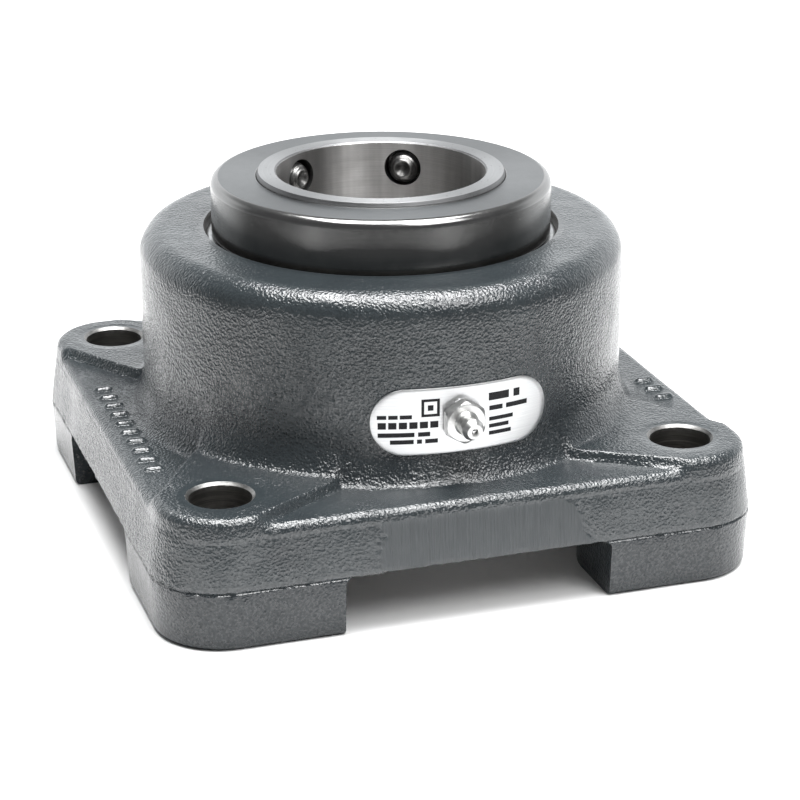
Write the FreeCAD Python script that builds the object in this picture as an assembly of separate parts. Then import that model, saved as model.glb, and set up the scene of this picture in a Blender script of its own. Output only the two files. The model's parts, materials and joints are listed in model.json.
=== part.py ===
import FreeCAD, Part
import math
import os

# Four-bolt square flange bearing unit for a 2-7/16 inch shaft, in millimetres.
# A cast housing holds a double-row tapered roller bearing, and the shaft is clamped by a
# collar with two set screws on the bearing's extended inner ring.
# Frame: the origin is on the bore's axis, on the plane that the four feet bolt down to.
# +Z runs along the bore towards the collar, and the grease fitting and nameplate face -Y.
# "front" means the collar's end (+Z), and "rear" means the end by the mounting face.

INCH = 25.4

# Shaft and mounting dimensions
SHAFT_DIAMETER = 2.4375 * INCH
BORE_RADIUS = SHAFT_DIAMETER / 2 + 0.01
BOLT_SPACING = 5.375 * INCH
BOLT_HOLE_RADIUS = 0.6875 * INCH / 2
BOLT_HOLE_CHAMFER = 0.8

# Square flange: widest at the mould's parting line, with draft above and below it
PARTING_HEIGHT = 17.3
PARTING_HALF_WIDTH = 89.0
FOOT_BOTTOM_HALF_WIDTH = 88.1
FLANGE_DRAFT = math.radians(7.9)
FACET_HEIGHT = 34.7
PAD_HEIGHT = 37.5
EDGE_ROUND = 2.6
PAD_EDGE_ROUND = 1.6
PAD_HALF_WIDTH_AT_HOLE = 18.0
PAD_TAPER = 0.236

# Relief between the four feet: a cross of two channels and a round recess
CHANNEL_HALF_WIDTH = 39.0
RECESS_RADIUS = 69.0
FOOT_INNER_ROUND = 24.0
CHANNEL_TOP_ROUND = 2.2

# Boss and its bore, from the rear upwards
BOSS_RADIUS = 71.7
HOUSING_HEIGHT = 89.0
BOSS_TOP_ROUND = 7.0
BOSS_BASE_ROUND = 5.0
CUP_RADIUS = 56.0
SHOULDER_RADIUS = 50.0
SHOULDER_THICKNESS = 2.7
FRONT_SEAL_RADIUS = 52.0
MOUTH_RADIUS = 52.7
MOUTH_CHAMFER_DEPTH = 1.2

# Double-row bearing
BEARING_CENTRE = 52.8
ROW_OFFSET = 15.0
PITCH_RADIUS = 46.2
ROLLER_COUNT = 26
ROLLER_RADIUS = 4.5
ROLLER_LENGTH = 16.0
ROLLER_AXIS_ANGLE = math.radians(12.0)
RUNNING_GAP = 0.05
CUP_INNER_FACE = 5.5
CUP_OUTER_FACE = 24.5
SLEEVE_RADIUS = 36.72
LARGE_RIB_RADIUS = 45.9
SMALL_RIB_RADIUS = 41.5
RIB_END = 25.5
INNER_RING_REAR = 9.0
INNER_RING_FRONT = 105.2
INNER_RING_CHAMFER = 1.14
SLEEVE_CHAMFER = 0.7

# Locking collar and its set screws
COLLAR_RADIUS = 50.3
COLLAR_REAR = 87.2
COLLAR_FRONT = 103.9
COLLAR_EDGE_ROUND = 1.9
SCREW_RADIUS = 0.375 * INCH / 2
SCREW_LENGTH = 0.625 * INCH
SCREW_HEIGHT = 97.4
SCREW_TIP_RADIUS = 32.1
SCREW_THREAD_GAP = 0.05
SCREW_RING_HOLE_RADIUS = 5.55
SCREW_SOCKET_FLATS = 0.1875 * INCH
SCREW_ANGLES = {"set_screw_left": 124.4, "set_screw_right": 59.4}

# Grease fitting and nameplate
PLATE_THICKNESS = 0.6
PLATE_HALF_ANGLE = math.radians(21.0)
PLATE_HALF_HEIGHT = 9.7
PLATE_HOLE_RADIUS = 5.2
FITTING_SHANK_RADIUS = 4.9
FITTING_SHANK_LENGTH = 10.0
FITTING_FLATS = 0.4375 * INCH
FITTING_HEX_HEIGHT = 3.5
FITTING_NIPPLE_LENGTH = 6.95
FITTING_FEED_RADIUS = 1.0
FITTING_CHAMBER_RADIUS = 1.7
FITTING_MOUTH_RADIUS = 0.88
FITTING_SEAT_LENGTH = 1.2
FITTING_MOUTH_LENGTH = 0.8
GREASE_BALL_RADIUS = 1.3
SPRING_COIL_RADIUS = 1.05
SPRING_WIRE_RADIUS = 0.2
SPRING_PITCH = 1.3
SPRING_TURNS = 5
GREASE_HOLE_RADIUS = 2.2

# Worked out from the dimensions above
BOLT_OFFSET = BOLT_SPACING / 2
HALF_LENGTH = ROLLER_LENGTH / 2
APEX_DISTANCE = PITCH_RADIUS / math.sin(ROLLER_AXIS_ANGLE)
ROLLER_TAPER = math.atan(ROLLER_RADIUS / APEX_DISTANCE)
CUP_FRONT_FACE = BEARING_CENTRE + CUP_OUTER_FACE
CUP_REAR_FACE = BEARING_CENTRE - CUP_OUTER_FACE
SHIM_THICKNESS = 1.0
SNAP_RING_THICKNESS = 2.4
SNAP_RING_FRONT = CUP_REAR_FACE - SHIM_THICKNESS
SNAP_RING_REAR = SNAP_RING_FRONT - SNAP_RING_THICKNESS
SNAP_RING_RADIUS = 58.3
SEAL_DEPTH = 6.6
FRONT_SEAL_FACE = COLLAR_REAR - 0.6
REAR_SEAL_FACE = PARTING_HEIGHT + 0.6
HEX_SEAT = BOSS_RADIUS + PLATE_THICKNESS + 0.05
FITTING_TIP = HEX_SEAT + FITTING_HEX_HEIGHT + FITTING_NIPPLE_LENGTH
SEAT_SLOPE = (FITTING_CHAMBER_RADIUS - FITTING_MOUTH_RADIUS) / FITTING_SEAT_LENGTH
SEAT_START = FITTING_TIP - FITTING_MOUTH_LENGTH - FITTING_SEAT_LENGTH
BALL_REACH = (GREASE_BALL_RADIUS + 0.03) * math.hypot(1, SEAT_SLOPE)
BALL_CENTRE = SEAT_START + (FITTING_CHAMBER_RADIUS - BALL_REACH) / SEAT_SLOPE
SPRING_TOP = BALL_CENTRE - 0.02 - math.sqrt(
    (GREASE_BALL_RADIUS + SPRING_WIRE_RADIUS) ** 2 - SPRING_COIL_RADIUS ** 2
)
SPRING_BOTTOM = SPRING_TOP - SPRING_PITCH * SPRING_TURNS

X_AXIS = FreeCAD.Vector(1, 0, 0)
Y_AXIS = FreeCAD.Vector(0, 1, 0)
Z_AXIS = FreeCAD.Vector(0, 0, 1)
ORIGIN = FreeCAD.Vector(0, 0, 0)


# Drawing helpers

def rounded_wire(corners, place):
    """A closed wire through (u, v, radius) corners, each rounded by its radius.

    place maps (u, v) to a point.
    """
    points = [FreeCAD.Vector(u, v, 0) for u, v, _ in corners]
    arrivals, departures, middles = [], [], []
    for i, (_, _, radius) in enumerate(corners):
        here = points[i]
        back = (points[i - 1] - here).normalize()
        ahead = (points[(i + 1) % len(points)] - here).normalize()
        half_angle = back.getAngle(ahead) / 2
        reach = radius / math.tan(half_angle)
        arrivals.append(here + back * reach)
        departures.append(here + ahead * reach)
        middles.append(here + (back + ahead).normalize() * (radius / math.sin(half_angle) - radius))
    edges = []
    for i, (_, _, radius) in enumerate(corners):
        if radius > 0:
            arc = Part.Arc(*[place(p.x, p.y) for p in (arrivals[i], middles[i], departures[i])])
            edges.append(arc.toShape())
        start = departures[i]
        end = arrivals[(i + 1) % len(points)]
        if start.distanceToPoint(end) > 1e-6:
            edges.append(Part.LineSegment(place(start.x, start.y), place(end.x, end.y)).toShape())
    return Part.Wire(edges)


def as_solid(shape):
    """The shape as one outward-facing solid."""
    solid = Part.Solid(shape.Shells[0]) if shape.ShapeType != "Solid" else shape
    if solid.Volume < 0:
        solid.reverse()
    return solid


def revolved(corners):
    """A ring about the bore's axis with a section of (radius, height, rounding) corners."""
    wire = rounded_wire(corners, lambda r, z: FreeCAD.Vector(r, 0, z))
    return as_solid(Part.Face(wire).revolve(ORIGIN, Z_AXIS, 360))


def plain_ring(inner, outer, low, high):
    """A ring of rectangular section."""
    return revolved([(inner, low, 0), (outer, low, 0), (outer, high, 0), (inner, high, 0)])


def prism(corners, low, high):
    """An upright prism on a plan of (x, y, rounding) corners."""
    wire = rounded_wire(corners, lambda x, y: FreeCAD.Vector(x, y, low))
    return Part.Face(wire).extrude(FreeCAD.Vector(0, 0, high - low))


def square_wire(half_width, corner_radius, height):
    """A square outline with rounded corners."""
    signs = ((-1, -1), (1, -1), (1, 1), (-1, 1))
    corners = [(sx * half_width, sy * half_width, corner_radius) for sx, sy in signs]
    return rounded_wire(corners, lambda x, y: FreeCAD.Vector(x, y, height))


def drafted_square(low, low_half_width, high, high_half_width):
    """A square slab whose sides lean by the mould's draft, with corners centred on the bolt holes."""
    wires = [
        square_wire(half, half - BOLT_OFFSET, height)
        for half, height in ((low_half_width, low), (high_half_width, high))
    ]
    return as_solid(Part.makeLoft(wires, True, True))


def upper_half_width(height):
    """Half the flange's width at a height above the parting line."""
    return PARTING_HALF_WIDTH - (height - PARTING_HEIGHT) * math.tan(FLANGE_DRAFT)


def turned(shape, degrees):
    """A copy of the shape turned about the bore's axis."""
    copy = shape.copy()
    copy.rotate(ORIGIN, Z_AXIS, degrees)
    return copy


def hexagon(flats, low, high):
    """A hexagonal prism along Z, measured across flats, with two corners on the Y axis."""
    corner = flats / math.sqrt(3)
    angles = [math.radians(30 + 60 * i) for i in range(6)]
    return prism([(corner * math.cos(a), corner * math.sin(a), 0) for a in angles], low, high)


def top_edges(shape, height):
    """The edges of a shape that lie on one level."""
    return [
        edge
        for edge in shape.Edges
        if abs(edge.BoundBox.ZMin - height) < 1e-4 and abs(edge.BoundBox.ZMax - height) < 1e-4
    ]


# Cast housing

def flange_slab():
    """Flange from the mounting plane to the facets, with its upper edge rounded."""
    feet = drafted_square(0, FOOT_BOTTOM_HALF_WIDTH, PARTING_HEIGHT, PARTING_HALF_WIDTH)
    upper = drafted_square(
        PARTING_HEIGHT, PARTING_HALF_WIDTH, FACET_HEIGHT, upper_half_width(FACET_HEIGHT)
    )
    upper = upper.makeFillet(EDGE_ROUND, top_edges(upper, FACET_HEIGHT))
    return feet.fuse(upper)


def corner_pads():
    """Four raised pads, one round each bolt hole, that widen towards the boss."""
    tall = drafted_square(
        PARTING_HEIGHT, PARTING_HALF_WIDTH, PAD_HEIGHT, upper_half_width(PAD_HEIGHT)
    )
    hole_distance = BOLT_OFFSET * math.sqrt(2)
    near, far = 40.0, 130.0
    near_half = PAD_HALF_WIDTH_AT_HOLE + (hole_distance - near) * PAD_TAPER
    far_half = PAD_HALF_WIDTH_AT_HOLE + (hole_distance - far) * PAD_TAPER
    tab = prism(
        [(near, -near_half, 0), (far, -far_half, 0), (far, far_half, 0), (near, near_half, 0)],
        FACET_HEIGHT - 8,
        PAD_HEIGHT,
    )
    pads = []
    for quarter in range(4):
        pad = tall.common(turned(tab, 45 + 90 * quarter)).Solids[0]
        outer = [
            edge
            for edge in top_edges(pad, PAD_HEIGHT)
            if math.hypot(edge.CenterOfMass.x, edge.CenterOfMass.y) > near + 1
        ]
        pads.append(pad.makeFillet(PAD_EDGE_ROUND, outer))
    return pads


def boss():
    """Round boss with a rounded top edge and a concave round at its foot."""
    foot_radius = BOSS_RADIUS + BOSS_BASE_ROUND
    return revolved([
        (40, PARTING_HEIGHT, 0),
        (foot_radius, PARTING_HEIGHT, 0),
        (foot_radius, FACET_HEIGHT, 0),
        (BOSS_RADIUS, FACET_HEIGHT, BOSS_BASE_ROUND - 0.01),
        (BOSS_RADIUS, HOUSING_HEIGHT, BOSS_TOP_ROUND),
        (40, HOUSING_HEIGHT, 0),
    ])


def foot_relief():
    """The space between the feet: two crossing channels and a round recess, blended in plan."""
    reach = RECESS_RADIUS + FOOT_INNER_ROUND
    centre_x = CHANNEL_HALF_WIDTH + FOOT_INNER_ROUND
    centre_y = math.sqrt(reach ** 2 - centre_x ** 2)
    on_circle = (centre_x * RECESS_RADIUS / reach, centre_y * RECESS_RADIUS / reach)
    blend = math.atan2(centre_y - on_circle[1], centre_x - on_circle[0])
    halfway = math.pi + blend / 2
    middle = (
        centre_x + FOOT_INNER_ROUND * math.cos(halfway),
        centre_y + FOOT_INNER_ROUND * math.sin(halfway),
    )
    diagonal = RECESS_RADIUS / math.sqrt(2)
    outside = PARTING_HALF_WIDTH + 5
    edges = []
    for quarter in range(4):
        turn = FreeCAD.Rotation(Z_AXIS, 90 * quarter)

        def point(x, y):
            return turn.multVec(FreeCAD.Vector(x, y, -5))

        wall_out = point(CHANNEL_HALF_WIDTH, outside)
        wall_in = point(CHANNEL_HALF_WIDTH, centre_y)
        next_in = point(centre_y, CHANNEL_HALF_WIDTH)
        next_out = point(outside, CHANNEL_HALF_WIDTH)
        across = point(outside, -CHANNEL_HALF_WIDTH)
        edges += [
            Part.LineSegment(wall_out, wall_in).toShape(),
            Part.Arc(wall_in, point(*middle), point(*on_circle)).toShape(),
            Part.Arc(point(*on_circle), point(diagonal, diagonal), point(*on_circle[::-1])).toShape(),
            Part.Arc(point(*on_circle[::-1]), point(*middle[::-1]), next_in).toShape(),
            Part.LineSegment(next_in, next_out).toShape(),
            Part.LineSegment(next_out, across).toShape(),
        ]
    plan = Part.Wire(Part.__sortEdges__(edges))
    relief = Part.Face(plan).extrude(FreeCAD.Vector(0, 0, PARTING_HEIGHT + 5))
    return relief.makeFillet(CHANNEL_TOP_ROUND, top_edges(relief, PARTING_HEIGHT))


def bolt_hole_cutters():
    """Bolt clearance holes with a chamfer at the pads."""
    hole = Part.makeCylinder(BOLT_HOLE_RADIUS, PAD_HEIGHT + 10, FreeCAD.Vector(0, 0, -5))
    chamfer = Part.makeCone(
        BOLT_HOLE_RADIUS,
        BOLT_HOLE_RADIUS + 2 * BOLT_HOLE_CHAMFER,
        2 * BOLT_HOLE_CHAMFER,
        FreeCAD.Vector(0, 0, PAD_HEIGHT - BOLT_HOLE_CHAMFER),
    )
    cutter = hole.fuse(chamfer)
    cutters = []
    for sx in (-1, 1):
        for sy in (-1, 1):
            copy = cutter.copy()
            copy.translate(FreeCAD.Vector(sx * BOLT_OFFSET, sy * BOLT_OFFSET, 0))
            cutters.append(copy)
    return cutters


def housing_bore():
    """Everything that is bored out: cup bore, snap ring groove, shoulder, seal bore and mouth."""
    shoulder_front = CUP_FRONT_FACE + SHOULDER_THICKNESS
    groove_radius = SNAP_RING_RADIUS + 0.2
    groove_slack = 0.05
    return revolved([
        (0, -1, 0),
        (CUP_RADIUS, -1, 0),
        (CUP_RADIUS, SNAP_RING_REAR - groove_slack, 0),
        (groove_radius, SNAP_RING_REAR - groove_slack, 0),
        (groove_radius, SNAP_RING_FRONT, 0),
        (CUP_RADIUS, SNAP_RING_FRONT, 0),
        (CUP_RADIUS, CUP_FRONT_FACE, 0),
        (SHOULDER_RADIUS, CUP_FRONT_FACE, 0),
        (SHOULDER_RADIUS, shoulder_front, 0),
        (FRONT_SEAL_RADIUS, shoulder_front, 0),
        (FRONT_SEAL_RADIUS, HOUSING_HEIGHT - MOUTH_CHAMFER_DEPTH, 0),
        (MOUTH_RADIUS, HOUSING_HEIGHT, 0),
        (MOUTH_RADIUS, HOUSING_HEIGHT + 1, 0),
        (0, HOUSING_HEIGHT + 1, 0),
    ])


def grease_hole():
    """Tapped hole for the grease fitting, and the narrower drilling on into the bore."""
    height = FreeCAD.Vector(0, 0, BEARING_CENTRE)
    towards = FreeCAD.Vector(0, -1, 0)
    tapped_bottom = HEX_SEAT - FITTING_SHANK_LENGTH - 0.5
    tapped = Part.makeCylinder(
        FITTING_SHANK_RADIUS + 0.02, 20, height + towards * tapped_bottom, towards
    )
    drilled = Part.makeCylinder(GREASE_HOLE_RADIUS, 20, height + towards * (CUP_RADIUS - 4), towards)
    return tapped.fuse(drilled)


def housing():
    shape = flange_slab().fuse([boss(), *corner_pads()])
    shape = shape.cut([foot_relief(), housing_bore(), grease_hole(), *bolt_hole_cutters()])
    return shape.removeSplitter().Solids[0]


# Bearing rows. side is +1 for the front row and -1 for the rear row.

def roller_edge(along, inward):
    """Radius and distance from the bearing's centre of a point on a roller's inner or outer line."""
    radius = ROLLER_RADIUS + along * math.tan(ROLLER_TAPER)
    sine, cosine = math.sin(ROLLER_AXIS_ANGLE), math.cos(ROLLER_AXIS_ANGLE)
    across = -radius if inward else radius
    return (
        PITCH_RADIUS + along * sine + across * cosine,
        ROW_OFFSET - along * cosine + across * sine,
    )


def raceway_radius(distance, inward):
    """Radius of the cone's or the cup's raceway at a distance from the bearing's centre."""
    (r0, d0), (r1, d1) = (roller_edge(end, inward) for end in (-HALF_LENGTH, HALF_LENGTH))
    radius = r0 + (distance - d0) * (r1 - r0) / (d1 - d0)
    return radius + (-RUNNING_GAP if inward else RUNNING_GAP)


def rib_face(radius):
    """Distance from the bearing's centre of the rollers' large end faces, at a radius."""
    corner_radius, corner_distance = roller_edge(HALF_LENGTH, True)
    return corner_distance + (radius - corner_radius) * math.tan(ROLLER_AXIS_ANGLE)


def outer_cup(side):
    """Pressed-in outer ring with a conical raceway that opens towards the bearing's centre."""
    outside = CUP_RADIUS - 0.02
    return revolved([
        (raceway_radius(CUP_INNER_FACE, False), BEARING_CENTRE + side * CUP_INNER_FACE, 0),
        (outside, BEARING_CENTRE + side * CUP_INNER_FACE, 0.6),
        (outside, BEARING_CENTRE + side * CUP_OUTER_FACE, 1.2),
        (raceway_radius(CUP_OUTER_FACE, False), BEARING_CENTRE + side * CUP_OUTER_FACE, 0.6),
    ])


def one_roller(growth, extra_length):
    """A tapered roller along Z with its large end up, grown for a cage pocket if asked."""
    half = HALF_LENGTH + extra_length
    small = ROLLER_RADIUS - half * math.tan(ROLLER_TAPER) + growth
    large = ROLLER_RADIUS + half * math.tan(ROLLER_TAPER) + growth
    edge = 0.7
    return revolved([(0, -half, 0), (small, -half, edge), (large, half, edge), (0, half, 0)])


def roller_row(side, growth, extra_length):
    """A ring of rollers, each leaning towards the bearing's apex."""
    roller = one_roller(growth, extra_length)
    lean = math.degrees(ROLLER_AXIS_ANGLE)
    roller.rotate(ORIGIN, Y_AXIS, 180 - lean if side > 0 else lean)
    roller.translate(FreeCAD.Vector(PITCH_RADIUS, 0, BEARING_CENTRE + side * ROW_OFFSET))
    return [turned(roller, 360 * i / ROLLER_COUNT) for i in range(ROLLER_COUNT)]


def cage(side):
    """Pressed conical cage with one pocket per roller and an inward lip at its small end."""
    slope = math.tan(ROLLER_AXIS_ANGLE)
    lip_radius, lip_thickness, large_end, small_end = 42.6, 1.2, 5.2, 25.3
    inner_offset, outer_offset = 1.02, 2.25

    def band(distance, offset):
        return PITCH_RADIUS + (ROW_OFFSET - distance) * slope + offset

    lip_start = small_end - lip_thickness
    section = [
        (band(large_end, inner_offset), large_end, 0),
        (band(large_end, outer_offset), large_end, 0),
        (band(small_end, outer_offset), small_end, 1.0),
        (lip_radius, small_end, 0),
        (lip_radius, lip_start, 0),
        (band(lip_start, inner_offset), lip_start, 0),
    ]
    blank = revolved([(r, BEARING_CENTRE + side * d, rounding) for r, d, rounding in section])
    return blank.cut(roller_row(side, 0.2, 0.3)).Solids[0]


def cup_spacer():
    """Ring between the cups with a grease groove and six feed holes."""
    inner, outer, groove = 53.2, CUP_RADIUS - 0.02, 54.6
    half, groove_half, hole_radius = CUP_INNER_FACE, 2.4, 1.5
    ring = revolved([
        (inner, BEARING_CENTRE - half, 0),
        (outer, BEARING_CENTRE - half, 0),
        (outer, BEARING_CENTRE - groove_half, 0),
        (groove, BEARING_CENTRE - groove_half, 0),
        (groove, BEARING_CENTRE + groove_half, 0),
        (outer, BEARING_CENTRE + groove_half, 0),
        (outer, BEARING_CENTRE + half, 0),
        (inner, BEARING_CENTRE + half, 0),
    ])
    drill = Part.makeCylinder(hole_radius, 20, FreeCAD.Vector(45, 0, BEARING_CENTRE), X_AXIS)
    return ring.cut([turned(drill, 30 + 60 * i) for i in range(6)])


def radial_hole(angle, radius):
    """A drill through one side of the collar at the set screws' height."""
    drill = Part.makeCylinder(radius, 40, FreeCAD.Vector(20, 0, SCREW_HEIGHT), X_AXIS)
    return turned(drill, angle)


def inner_ring():
    """Double cone on an extended sleeve, with a hole for each set screw."""
    rib_gap = 0.06
    cone_end = CUP_OUTER_FACE - 2.1
    cone_start_radius = roller_edge(HALF_LENGTH, True)[0] - RUNNING_GAP
    half_section = [
        (LARGE_RIB_RADIUS, rib_face(LARGE_RIB_RADIUS) - rib_gap, 0.4),
        (cone_start_radius, rib_face(cone_start_radius) - rib_gap, 0),
        (raceway_radius(cone_end, True), cone_end, 0),
        (SMALL_RIB_RADIUS, cone_end + 0.25, 0),
        (SMALL_RIB_RADIUS, RIB_END, 0.5),
        (SLEEVE_RADIUS, RIB_END, 0.5),
    ]
    front = [(r, BEARING_CENTRE + d, rounding) for r, d, rounding in half_section]
    rear = [(r, BEARING_CENTRE - d, rounding) for r, d, rounding in reversed(half_section)]
    ring = revolved([
        *rear,
        *front,
        (SLEEVE_RADIUS, INNER_RING_FRONT - SLEEVE_CHAMFER, 0),
        (SLEEVE_RADIUS - SLEEVE_CHAMFER, INNER_RING_FRONT, 0),
        (BORE_RADIUS + INNER_RING_CHAMFER, INNER_RING_FRONT, 0),
        (BORE_RADIUS, INNER_RING_FRONT - INNER_RING_CHAMFER, 0),
        (BORE_RADIUS, INNER_RING_REAR + INNER_RING_CHAMFER, 0),
        (BORE_RADIUS + INNER_RING_CHAMFER, INNER_RING_REAR, 0),
        (SLEEVE_RADIUS - SLEEVE_CHAMFER, INNER_RING_REAR, 0),
        (SLEEVE_RADIUS, INNER_RING_REAR + SLEEVE_CHAMFER, 0),
    ])
    return ring.cut([radial_hole(a, SCREW_RING_HOLE_RADIUS) for a in SCREW_ANGLES.values()])


# Seals

def seal_section(face, inward, corners):
    """Seal corners given as (radius, depth from the outer face, rounding), set into place."""
    return [(r, face + inward * depth, rounding) for r, depth, rounding in corners]


def seal_case(face, inward, outside):
    """Pressed steel case: a cylinder that fits the housing and an annular wall at its outer face."""
    wall, inner_edge = 1.2, 41.0
    return revolved(seal_section(face, inward, [
        (inner_edge, 0, 0),
        (outside, 0, 1.0),
        (outside, SEAL_DEPTH, 0),
        (outside - wall, SEAL_DEPTH, 0),
        (outside - wall, wall, 0),
        (inner_edge, wall, 0),
    ]))


def seal_lip(face, inward):
    """Rubber element bonded to the case, with a sealing lip and an outer dust lip."""
    lip_radius = SLEEVE_RADIUS + 0.2
    return revolved(seal_section(face, inward, [
        (40.98, 0, 0),
        (38.4, 0, 0.3),
        (lip_radius + 0.2, 0.5, 0.1),
        (37.9, 2.4, 0.3),
        (lip_radius, 4.4, 0.1),
        (38.2, 6.0, 0.3),
        (40.4, 5.8, 0.3),
        (41.6, 2.8, 0),
        (46.0, 2.2, 0.3),
        (46.0, 1.22, 0),
        (40.98, 1.22, 0),
    ]))


def garter_spring(face, inward):
    """Garter spring that closes the sealing lip, as a plain ring of its coils' diameter."""
    return Part.makeTorus(41.73, 0.75, FreeCAD.Vector(0, 0, face + inward * 4.58), Z_AXIS)


# Retaining parts in the rear of the bore

def adjusting_shim():
    return plain_ring(50.2, CUP_RADIUS - 0.05, SNAP_RING_FRONT, CUP_REAR_FACE)


def snap_ring():
    """Internal snap ring with two lugs beside its gap."""
    inner, gap_half_angle, lug_radius, lug_centre = 52.2, 11.0, 4.0, 51.0
    lug_hole_radius, lug_half_angle = 1.25, 15.0
    height = SNAP_RING_REAR
    thick = SNAP_RING_THICKNESS
    ring = plain_ring(inner, SNAP_RING_RADIUS, height, height + thick)
    base = FreeCAD.Vector(0, lug_centre, height)
    signs = (-1, 1)
    lug = Part.makeCylinder(lug_radius, thick, base)
    hole = Part.makeCylinder(lug_hole_radius, thick, base)
    slot = Part.makeCylinder(80, thick, FreeCAD.Vector(0, 0, height), Z_AXIS, 2 * gap_half_angle)
    slot.rotate(ORIGIN, Z_AXIS, 90 - gap_half_angle)
    ring = ring.fuse([turned(lug, s * lug_half_angle) for s in signs])
    ring = ring.cut([slot, *[turned(hole, s * lug_half_angle) for s in signs]])
    return ring.removeSplitter().Solids[0]


# Locking collar and set screws

def locking_collar():
    collar = revolved([
        (SLEEVE_RADIUS + 0.03, COLLAR_REAR, 0),
        (COLLAR_RADIUS, COLLAR_REAR, 0.6),
        (COLLAR_RADIUS, COLLAR_FRONT, COLLAR_EDGE_ROUND),
        (SLEEVE_RADIUS + 0.03, COLLAR_FRONT, 0.3),
    ])
    holes = [radial_hole(a, SCREW_RADIUS + SCREW_THREAD_GAP) for a in SCREW_ANGLES.values()]
    return collar.cut(holes)


def set_screw(angle):
    """Socket set screw with a cup point towards the shaft, lying along the bore's radius."""
    point_radius, point_length, cup_radius, cup_depth = 3.1, 1.5, 2.5, 1.3
    socket_depth = 6.0
    body = revolved([
        (0, 0, 0),
        (point_radius, 0, 0),
        (SCREW_RADIUS, point_length, 0),
        (SCREW_RADIUS, SCREW_LENGTH - 0.6, 0),
        (SCREW_RADIUS - 0.6, SCREW_LENGTH, 0),
        (0, SCREW_LENGTH, 0),
    ])
    cup = Part.makeCone(cup_radius, 0.3, cup_depth)
    socket = hexagon(SCREW_SOCKET_FLATS, SCREW_LENGTH - socket_depth, SCREW_LENGTH + 1)
    screw = body.cut([cup, socket])
    screw.rotate(ORIGIN, Y_AXIS, 90)
    screw.translate(FreeCAD.Vector(SCREW_TIP_RADIUS, 0, SCREW_HEIGHT))
    return turned(screw, angle)


# Nameplate and grease fitting, on the -Y side

def nameplate():
    """Thin obround plate curved round the boss, with a hole that the grease fitting passes through."""
    half_length = (BOSS_RADIUS + PLATE_THICKNESS) * math.sin(PLATE_HALF_ANGLE)
    shell = plain_ring(
        BOSS_RADIUS, BOSS_RADIUS + PLATE_THICKNESS, BEARING_CENTRE - 12, BEARING_CENTRE + 12
    )
    end = PLATE_HALF_HEIGHT - 0.01
    corners = [
        (sx * half_length, sz * PLATE_HALF_HEIGHT, end)
        for sx, sz in ((-1, -1), (1, -1), (1, 1), (-1, 1))
    ]
    outline = rounded_wire(corners, lambda x, z: FreeCAD.Vector(x, -BOSS_RADIUS - 5, BEARING_CENTRE + z))
    stamp = Part.Face(outline).extrude(FreeCAD.Vector(0, 30, 0))
    hole = on_grease_axis(Part.makeCylinder(PLATE_HOLE_RADIUS, BOSS_RADIUS + 10))
    return shell.common(stamp).cut(hole).Solids[0]


def on_grease_axis(shape):
    """The shape moved from the Z axis to the grease fitting's axis, which points along -Y."""
    shape.rotate(ORIGIN, X_AXIS, 90)
    shape.translate(FreeCAD.Vector(0, 0, BEARING_CENTRE))
    return shape


def grease_fitting():
    """Straight nipple: shank, hexagon and coupling head round a ball seat."""
    shoulder = HEX_SEAT + FITTING_HEX_HEIGHT
    shank_end = HEX_SEAT - FITTING_SHANK_LENGTH
    shank = revolved([
        (0, shank_end, 0),
        (FITTING_SHANK_RADIUS, shank_end, 0.8),
        (FITTING_SHANK_RADIUS, shoulder, 0),
        (0, shoulder, 0),
    ])
    chamfer_radius = FITTING_FLATS / 2 + 0.9
    hex_head = hexagon(FITTING_FLATS, HEX_SEAT, shoulder).common(revolved([
        (0, HEX_SEAT, 0),
        (chamfer_radius, HEX_SEAT, 0),
        (chamfer_radius, shoulder - 0.5, 0),
        (chamfer_radius - 0.9, shoulder, 0),
        (0, shoulder, 0),
    ]))
    nipple = revolved([
        (0, shoulder, 0),
        (3.9, shoulder, 0),
        (3.2, shoulder + 0.9, 0.3),
        (2.75, shoulder + 2.1, 0.4),
        (3.25, shoulder + 3.6, 0.4),
        (3.25, shoulder + 5.2, 0.4),
        (2.4, FITTING_TIP, 0.2),
        (0, FITTING_TIP, 0),
    ])
    spring_seat = SPRING_BOTTOM - SPRING_WIRE_RADIUS - 0.02
    passage = revolved([
        (0, shank_end - 1, 0),
        (FITTING_FEED_RADIUS, shank_end - 1, 0),
        (FITTING_FEED_RADIUS, spring_seat, 0),
        (FITTING_CHAMBER_RADIUS, spring_seat, 0),
        (FITTING_CHAMBER_RADIUS, SEAT_START, 0),
        (FITTING_MOUTH_RADIUS, SEAT_START + FITTING_SEAT_LENGTH, 0),
        (FITTING_MOUTH_RADIUS, FITTING_TIP + 1, 0),
        (0, FITTING_TIP + 1, 0),
    ])
    fitting = shank.fuse([hex_head, nipple]).cut(passage).removeSplitter().Solids[0]
    return on_grease_axis(fitting)


def grease_ball():
    return on_grease_axis(Part.makeSphere(GREASE_BALL_RADIUS, FreeCAD.Vector(0, 0, BALL_CENTRE)))


def grease_spring():
    """Light coil spring that holds the check ball on its seat."""
    helix = Part.makeHelix(SPRING_PITCH, SPRING_PITCH * SPRING_TURNS, SPRING_COIL_RADIUS)
    start = FreeCAD.Vector(SPRING_COIL_RADIUS, 0, 0)
    section = Part.Wire(Part.makeCircle(SPRING_WIRE_RADIUS, start, Y_AXIS))
    coil = as_solid(helix.makePipeShell([section], True, True))
    coil.translate(FreeCAD.Vector(0, 0, SPRING_BOTTOM))
    return on_grease_axis(coil)


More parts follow.
